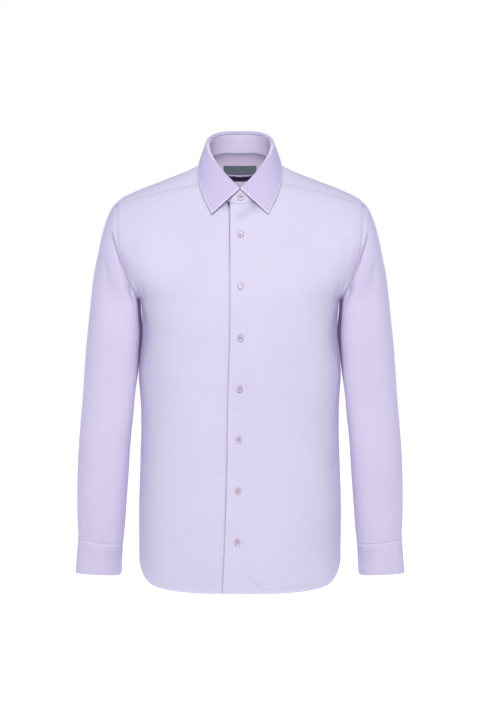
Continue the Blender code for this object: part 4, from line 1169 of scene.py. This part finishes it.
def armGrids():
    # the sleeve, its cuff and its placket on the wearer's left, each with its painted shade
    per = sleeve["perColumn"]
    loop = armholeLoop(per)
    shares = evenly(sleeve["rows"], *sleeve["edgeShares"])
    grid = np.array([loop] + [sleeveRing(share, loop) for share in shares[1:]])
    coarse = grid[-1, ::per]
    start = int(np.argmax((coarse - coarse.mean(axis=0)) @ np.array(cuff["openingFacing"]))) * per
    band = cuffGrid(grid, start, per)
    under = 0.5 * (1 - np.cos(2 * math.pi * np.arange(len(loop)) / len(loop)))
    gap = torso["seamGap"] + sleeve["underarmGap"] * (1 - under)
    grid, shade = settled(grid, sleeveCreases, 21, sleeve["uneven"], sleeve["held"], {"top": gap},
                          sleeve["seamShade"], closed=True)
    beyond = grid[..., 0] - grid[..., 0].min(axis=1, keepdims=True)
    inner = sum(shadeBell(beyond, looks) for looks in sleeve["inner"])
    inner = inner * closeToArm(grid[..., 2], sleeve["armsTo"])
    shade = np.maximum.reduce([shade, inner, pathShade(grid, *sleeve["fold"])])
    rows = shares >= cuff["placketStart"] - 1e-6
    raised = grid + facings(grid, closed=True) * (sleeve["wall"] + cuff["placketGap"])
    strip = raised[rows][:-2, start: start + per + 1]
    bandShade = cuff["inner"] * ease((cuff["innerX"] - band[..., 0]) / cuff["innerFade"])
    bandShade += shadeBell(edgeDistances(band)["top"] - cuff["seamPlace"], cuff["seamHighlight"])
    return (grid, shade), (band, bandShade), (strip, np.zeros(strip.shape[:2]))


def makeArm(side, sign, grids):
    flip = slice(None) if sign > 0 else slice(None, None, -1)
    looks = (("sleeve", sleeve["wall"], {"closed": True}), ("cuff", cuff["wall"], {"edgeRound": 0.6}),
             ("sleevePlacket", sleeve["wall"], {}))
    pieces = [clothPiece(f"{name}{side}Cloth", (grid * np.array([sign, 1, 1]))[:, flip], sleevePoplin, wall,
                         shade[:, flip], **more)
              for (name, wall, more), (grid, shade) in zip(looks, grids)]
    (cloth, _), (band, bandSkin), (placket, placketSkin) = pieces
    return {"cloth": cloth, "band": band, "bandSkin": bandSkin, "placket": placket,
            "placketSkin": placketSkin}


grids = armGrids()
leftArm = makeArm("Left", 1, grids)
rightArm = makeArm("Right", -1, grids)
print("sleeves and cuffs made")

label = {"half": 0.0295, "topZ": 0.0054, "height": 0.0136, "sag": 0.0016, "wall": 0.0010, "gap": 0.0005}
across, drop = np.meshgrid(np.linspace(-label["half"], label["half"], 41), np.linspace(0, 1, 16))
levels = label["topZ"] - (label["height"] + label["sag"] * (1 - (across / label["half"]) ** 2)) * drop
behind = halved(np.full_like(across, quarterTurn), np.full_like(across, math.pi),
                lambda angle: overPoint(across, angle)[..., 2] > levels)
labelPoints = overPoint(across, behind)
stands, _ = yokeBulge(0 * across, labelPoints[..., 2])
labelPoints[..., 1] -= stands + torso["wall"] + label["wall"] + label["gap"]
if facings(labelPoints)[5, 20, 1] > 0:
    labelPoints = labelPoints[:, ::-1]
labelPiece, _ = clothPiece("neckLabelTape", labelPoints, labelTape, label["wall"])
print("label made")

button = {
    "radius": 0.0056, "thickness": 0.0024, "segments": 44, "holeRadius": 0.0007, "holeSpacing": 0.00125,
    "pitch": 0.0885, "topZ": -0.118, "count": 7, "collarZ": -0.0535,
    "lineX": 0.0012, "drift": 0.006, "driftStart": -0.2, "driftFall": 0.5, "sharpAngle": math.radians(38),
    # radius and height, as shares of the button's own, from the middle of its face to its back
    "profile": [
        (0.00, 0.68), (0.46, 0.67), (0.62, 0.70), (0.72, 0.84), (0.80, 0.96), (0.87, 1.00), (0.93, 0.95),
        (0.98, 0.78), (1.00, 0.60), (0.98, 0.40), (0.92, 0.18), (0.82, 0.04), (0.74, 0.00), (0.00, 0.00),
    ],
    # the strands that tie it on, three each way
    "strandSpacing": 0.00026, "strandRadius": 0.00017, "strandReach": 1.42, "strandRise": 0.00052,
    "strandDip": 0.0012, "strandTurn": 0.86,
    # how far it stands off the cloth, and how many points of the cuff tell how it lies there
    "gap": 0.0002, "threadGap": 0.0001, "lieOn": 60, "restOn": 12,
}
buttonhole = {"long": 0.0114, "barIn": 0.00045, "barOut": 0.0015, "endIn": 0.0006, "endHalf": 0.0014}


def turnedMesh(name, profile, segments):
    points, faces = [(0, 0, profile[0][1])], []
    for radius, height in profile[1:-1]:
        for k in range(segments):
            angle = 2 * math.pi * k / segments
            points.append((radius * math.cos(angle), radius * math.sin(angle), height))
    points.append((0, 0, profile[-1][1]))
    rings = len(profile) - 2
    for k in range(segments):
        after = (k + 1) % segments
        faces.append((0, 1 + k, 1 + after))
        for ring in range(rings - 1):
            base = 1 + ring * segments
            faces.append((base + k, base + segments + k, base + segments + after, base + after))
        base = 1 + (rings - 1) * segments
        faces.append((base + k, len(points) - 1, base + after))
    mesh = bpy.data.meshes.new(name)
    mesh.from_pydata(points, [], faces)
    return mesh


def drilledButton():
    size, tall = button["radius"], button["thickness"]
    profile = [(radius * size, height * tall) for radius, height in button["profile"]]
    blank = addObject("buttonBlank", turnedMesh("buttonBlank", profile, button["segments"]))
    wide, far = button["holeRadius"], button["holeSpacing"]
    drills = []
    for x, y in ((-far, -far), (-far, far), (far, -far), (far, far)):
        drill = turnedMesh("drill", [(0, 2 * tall), (wide, 2 * tall), (wide, -tall), (0, -tall)], 14)
        drill.transform(Matrix.Translation((x, y, 0)))
        drills.append(addObject("drill", drill))
        cut = blank.modifiers.new("Hole", "BOOLEAN")
        cut.object = drills[-1]
        cut.solver = "EXACT"
    return plainMesh(blank, drills)


def tubePoints(path, radius, sides):
    path = np.array(path)
    tangent = unit(np.gradient(path, axis=0))
    first = unit(np.cross(tangent, np.array([0.31, 0.87, 0.38])))
    second = np.cross(tangent, first)
    angles = 2 * math.pi * np.arange(sides)[None, :, None] / sides
    ring = np.cos(angles) * first[:, None] + np.sin(angles) * second[:, None]
    points = (path[:, None] + radius * ring).reshape(-1, 3)
    faces = []
    for i in range(len(path) - 1):
        for k in range(sides):
            a, b = i * sides + k, i * sides + (k + 1) % sides
            faces.append((a, b, b + sides, a + sides))
    faces.append(tuple(range(sides))[::-1])
    faces.append(tuple((len(path) - 1) * sides + k for k in range(sides)))
    return points, faces


def crossThreads():
    # three strands each way through the four holes, pulled into a cross
    points, faces = [], []
    reach = button["holeSpacing"] * button["strandReach"]
    top = button["profile"][0][1] * button["thickness"]
    for turn in (0.25 * math.pi, 0.75 * math.pi):
        run = np.array([math.cos(turn), math.sin(turn), 0])
        beside = np.array([-math.sin(turn), math.cos(turn), 0])
        for place in (-1, 0, 1):
            path = []
            for share in np.linspace(-1, 1, 9):
                late = max(0, abs(share) - button["strandTurn"]) / (1 - button["strandTurn"])
                height = top + button["strandRise"] * (1 - share**4) - button["strandDip"] * late
                path.append(run * share * reach + beside * place * button["strandSpacing"] + upright * height)
            newPoints, newFaces = tubePoints(path, button["strandRadius"], 5)
            faces += [tuple(len(points) + i for i in face) for face in newFaces]
            points += newPoints.tolist()
    return points, faces


def buttonMesh():
    drilled = drilledButton()
    points = [tuple(v.co) for v in drilled.vertices]
    faces = [tuple(p.vertices) for p in drilled.polygons]
    threadPoints, threadFaces = crossThreads()
    threadFaces = [tuple(len(points) + i for i in face) for face in threadFaces]
    tied = bpy.data.meshes.new("pearlButton")
    tied.from_pydata(points + threadPoints, [], faces + threadFaces)
    tied.materials.append(pearlResin)
    tied.materials.append(buttonThread)
    tied.polygons.foreach_set("material_index", [0] * len(faces) + [1] * len(threadFaces))
    tied.shade_smooth()
    tied.set_sharp_from_angle(angle=button["sharpAngle"])
    return tied


pearlButton = buttonMesh()


def placeButton(name, place, facing):
    mesh = pearlButton.copy()
    across = unit(np.cross(facing, upright))
    rows = np.column_stack([across, np.cross(facing, across), facing, place])
    mesh.transform(Matrix((*rows.tolist(), (0, 0, 0, 1))))
    return addObject(name, mesh)


def uprightFacing(slope):
    return unit(np.array([0, -slope[2], slope[1]]))


def frontButtonPlace(z):
    drop = ease((button["driftStart"] - z) / button["driftFall"])
    x = np.array([button["lineX"] - button["drift"] * drop])
    heights = z + button["radius"] * np.array([-1, 0, 1])
    if z < torso["chestZ"]:
        turn = turnFromAcross(x / along(torso["girth"], z, 1))
        points = lowerPoint(turn, heights, frontForm)
    else:
        points = upperPoint(x, riseAt(x, heights, frontForm), frontForm)
    return points[1], uprightFacing(points[2] - points[0])


def buttonholeLines(place, facing, isUpright):
    # the two bars and the ends of a worked buttonhole, as a zigzag of thread
    across = unit(np.cross(facing, upright))
    upward = np.cross(across, facing)
    run, side = (upward, across) if isUpright else (across, upward)
    reach = 0.5 * buttonhole["long"]

    def zigzag(count, spot):
        return np.array([place + spot(share, k % 2) for k, share in enumerate(np.linspace(-1, 1, count))])

    wide, far = (buttonhole["barOut"], buttonhole["barIn"]), (reach + buttonhole["endIn"], reach)
    bars = [zigzag(34, lambda share, odd: run * share * reach + side * sign * wide[odd]) for sign in (-1, 1)]
    ends = [zigzag(9, lambda share, odd: run * end * far[odd] + side * share * buttonhole["endHalf"])
            for end in (-1, 1)]
    return bars + ends


buttonNodes = {}
buttonholes = []
seat = 0.5 * torso["wall"] + torso["lapGap"]
for number in range(button["count"]):
    place, facing = frontButtonPlace(button["topZ"] - number * button["pitch"])
    name = f"pearlButtonFront{number + 1}"
    raised = place + facing * (seat + button["gap"])
    buttonNodes[f"button_front_{number + 1}"] = placeButton(name, raised, facing)
    buttonholes += buttonholeLines(place + facing * (seat + button["threadGap"]), facing, True)
turn = np.array([0.0])
low, high = overPoint(*neckAngle(turn))[0], standTop(turn)[0]
place = low + (high - low) * (button["collarZ"] - low[2]) / (high[2] - low[2])
facing = uprightFacing(high - low)
place = place + facing * (0.5 * collar["wall"] + torso["lapGap"]) + np.array([button["lineX"], 0, 0])
buttonNodes["button_collar"] = placeButton("pearlButtonCollar", place, facing)
buttonholes += buttonholeLines(place - facing * button["threadGap"], facing, False)
for side, arm in (("left", leftArm), ("right", rightArm)):
    # each cuff button sits on the cloth by its solid and faces away from the cuff's middle
    centre = 0.5 * np.sum(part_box(f"cuff_button_{side}"), axis=0)
    skin = arm["bandSkin"].reshape(-1, 3)
    near = skin[np.argsort(np.linalg.norm(skin - centre, axis=1))[:button["lieOn"]]]
    facing = np.linalg.svd(near - near.mean(0))[2][2]
    facing = facing * np.sign(facing @ (centre - skin.mean(0)))
    rest = near[:button["restOn"]].mean(0)
    place = centre + facing * ((rest - centre) @ facing + button["gap"])
    buttonNodes[f"cuff_button_{side}"] = placeButton(f"pearlButtonCuff{side.capitalize()}", place, facing)
print("buttons made")

# how far in from the edges the lines are sewn
sewing = {"hem": 0.006, "yoke": 0.002, "leaf": 0.0024, "band": 0.0022, "cuff": 0.0055, "placket": 0.0022}
bodyLines = [insetLine(skin, "bottom", sewing["hem"]) for skin in (frontLeftSkin, frontRightSkin, backSkin)]
bodyLines += [insetLine(yokeSkin, side, sewing["yoke"]) for side in ("first", "last", "bottom")]
bodyStitches = sewStitches("bodyStitches", bodyLines)
collarLines = [insetLine(leafSkin, "bottom", sewing["leaf"], 0.012, 0.988)]
collarLines += [insetLine(leafSkin, side, sewing["leaf"], 0.30, 0.95) for side in ("first", "last")]
collarLines += [insetLine(standSkin, "bottom", sewing["band"])]
collarStitches = sewStitches("collarStitches", collarLines)
cuffStitches = {}
for side, arm in (("Left", leftArm), ("Right", rightArm)):
    band, placket = arm["bandSkin"], arm["placketSkin"]
    lines = [insetLine(band, "bottom", sewing["cuff"], 0.02, 0.98), insetLine(band, "top", sewing["band"])]
    lines += [insetLine(band, edge, sewing["cuff"], 0.08, 0.92) for edge in ("first", "last")]
    lines += [insetLine(placket, edge, sewing["placket"], 0.02, 0.99) for edge in ("first", "last")]
    lines += [insetLine(placket, "top", sewing["placket"], 0.1, 0.9)]
    cuffStitches[side] = sewStitches(f"cuffStitches{side}", lines)
holeStitches = sewStitches("buttonholeThreads", buttonholes, Pitch=0.0011, Length=0.0015, Thickness=0.00036)
print("stitches sewn")

sheets = [
    (frontLeft, "front_left", (0.285, 0.750), 0.177, "yokeCloth", []),
    (frontRight, "front_right", (0.270, 0.750), 0.174, "yokeCloth", []),
    (backCloth, "back", (0.515, 0.690), 0.311, "yokeCloth", []),
    (yokeCloth, "yoke", (0.460, 0.170), 0.0585, "worn_on_shoulders", [bodyStitches]),
    (collarStand, "collar_stand", (0.450, 0.045), 0.0141, "yokeCloth", []),
    (collarLeaf, "collar_leaf", (0.480, 0.080), 0.0241, "collarStandCloth", [collarStitches]),
    (leftArm["cloth"], "sleeve_left", (0.485, 0.610), 0.175, "yokeCloth", []),
    (rightArm["cloth"], "sleeve_right", (0.485, 0.610), 0.175, "yokeCloth", []),
    (leftArm["placket"], "sleeve_placket_left", (0.014, 0.170), 0.0023, "sleeveLeftCloth", []),
    (rightArm["placket"], "sleeve_placket_right", (0.014, 0.170), 0.0023, "sleeveRightCloth", []),
    (leftArm["band"], "cuff_left", (0.282, 0.061), 0.0161, "sleeveLeftCloth", [cuffStitches["Left"]]),
    (rightArm["band"], "cuff_right", (0.282, 0.061), 0.0161, "sleeveRightCloth", [cuffStitches["Right"]]),
    (labelPiece, "neck_label", (0.058, 0.016), 0.00090, "yokeCloth", []),
]
for piece, node, flat, area, rests, extras in sheets:
    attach(piece, "root")
    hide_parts(node)
for node, piece in buttonNodes.items():
    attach(piece, "root")
    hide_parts(node)
for piece in (bodyStitches, collarStitches, holeStitches, *cuffStitches.values()):
    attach(piece, "root")
print("pieces named", len(sheets), "sheets of cloth and", len(buttonNodes), "buttons")

studio = {
    "floorZ": -1.05, "floorHalf": 6.0, "floorGlow": (-0.4, 0.5, 0.04, 1.0), "floorSeen": 0.7,
    "paint": {"Base Color": (0.9, 0.9, 0.91, 1), "Roughness": 0.9, "Emission Color": (1, 1, 1, 1)},
    "cameraPlace": (0.0, -3.4, -0.12), "aim": (0.0, 0.0, -0.34), "longSide": 1.28, "sensor": 36,
    "world": ((0.78, 0.80, 1, 1), 0.24), "backdrop": ((1, 1, 1, 1), 1.0),
    # name, place, aim, size, power, tint
    "lights": [
        ("keyLight", (0.0, -3.3, 1.75), (0, 0, -0.3), (1.6, 1.6), 94, (1.0, 0.99, 0.975)),
        ("topLight", (0.0, -0.3, 2.4), (0, 0, 0), (1.6, 1.2), 6, (1, 1, 1)),
        ("lowLight", (0.0, -3.3, -0.75), (0, 0, -0.1), (2.4, 0.5), 5, (1, 1, 1)),
        ("leftLight", (-2.3, 0.3, 0.1), (0, 0, -0.35), (0.9, 1.8), 6, (0.82, 0.83, 1.0)),
        ("rightLight", (2.3, 0.3, 0.1), (0, 0, -0.35), (0.9, 1.8), 6, (0.82, 0.83, 1.0)),
    ],
}
floorMesh = bpy.data.meshes.new("paleFloor")
corners = [(x * studio["floorHalf"], y * studio["floorHalf"], studio["floorZ"])
           for x, y in ((-1, -1), (1, -1), (1, 1), (-1, 1))]
floorMesh.from_pydata(corners, [], [(0, 1, 2, 3)])
paleFloor = addObject("paleFloor", floorMesh)
# matt white paint with a painted glow that stands for light on it: looked at, the floor is pale all over, but
# its front half glows little and sends little light up
floorPaint, tree = newMaterial("whitePaintedFloor")
depthOf = addNode(tree, "ShaderNodeSeparateXYZ", {"Vector": objectPlace(tree)}).outputs["Y"]
glow = mapSpan(tree, depthOf, *studio["floorGlow"], interpolation_type="SMOOTHSTEP")
seen = addNode(tree, "ShaderNodeLightPath").outputs["Is Camera Ray"]
pale = reckon(tree, "MAXIMUM", glow, reckon(tree, "MULTIPLY", seen, studio["floorSeen"]))
setSurface(tree, {**studio["paint"], "Emission Strength": pale})
floorMesh.materials.append(floorPaint)

world = bpy.data.worlds.new("studioLight")
bpy.context.scene.world = world
world.use_nodes = True
tree = world.node_tree
tree.nodes.clear()
seen = addNode(tree, "ShaderNodeLightPath").outputs["Is Camera Ray"]
soft, white = (addNode(tree, "ShaderNodeBackground", {"Color": tone, "Strength": strength}).outputs[0]
               for tone, strength in (studio["world"], studio["backdrop"]))
both = addNode(tree, "ShaderNodeMixShader", {0: seen, 1: soft, 2: white})
addNode(tree, "ShaderNodeOutputWorld", {"Surface": both.outputs[0]})


def aimedObject(name, data, place, aim):
    holder = addObject(name, data)
    holder.location = place
    holder.rotation_euler = (Vector(aim) - Vector(place)).to_track_quat("-Z", "Y").to_euler()
    return holder


for name, place, aim, size, power, tint in studio["lights"]:
    lamp = bpy.data.lights.new(name, "AREA")
    lamp.color = tint
    lamp.shape = "RECTANGLE"
    lamp.size, lamp.size_y = size
    lamp.energy = power
    aimedObject(name, lamp, place, aim)
cameraData = bpy.data.cameras.new("camera")
distance = (Vector(studio["aim"]) - Vector(studio["cameraPlace"])).length
cameraData.sensor_width = studio["sensor"]
cameraData.lens = studio["sensor"] * distance / studio["longSide"]
bpy.context.scene.camera = aimedObject("camera", cameraData, studio["cameraPlace"], studio["aim"])
bpy.context.scene.view_settings.view_transform = "Standard"
print("studio set")
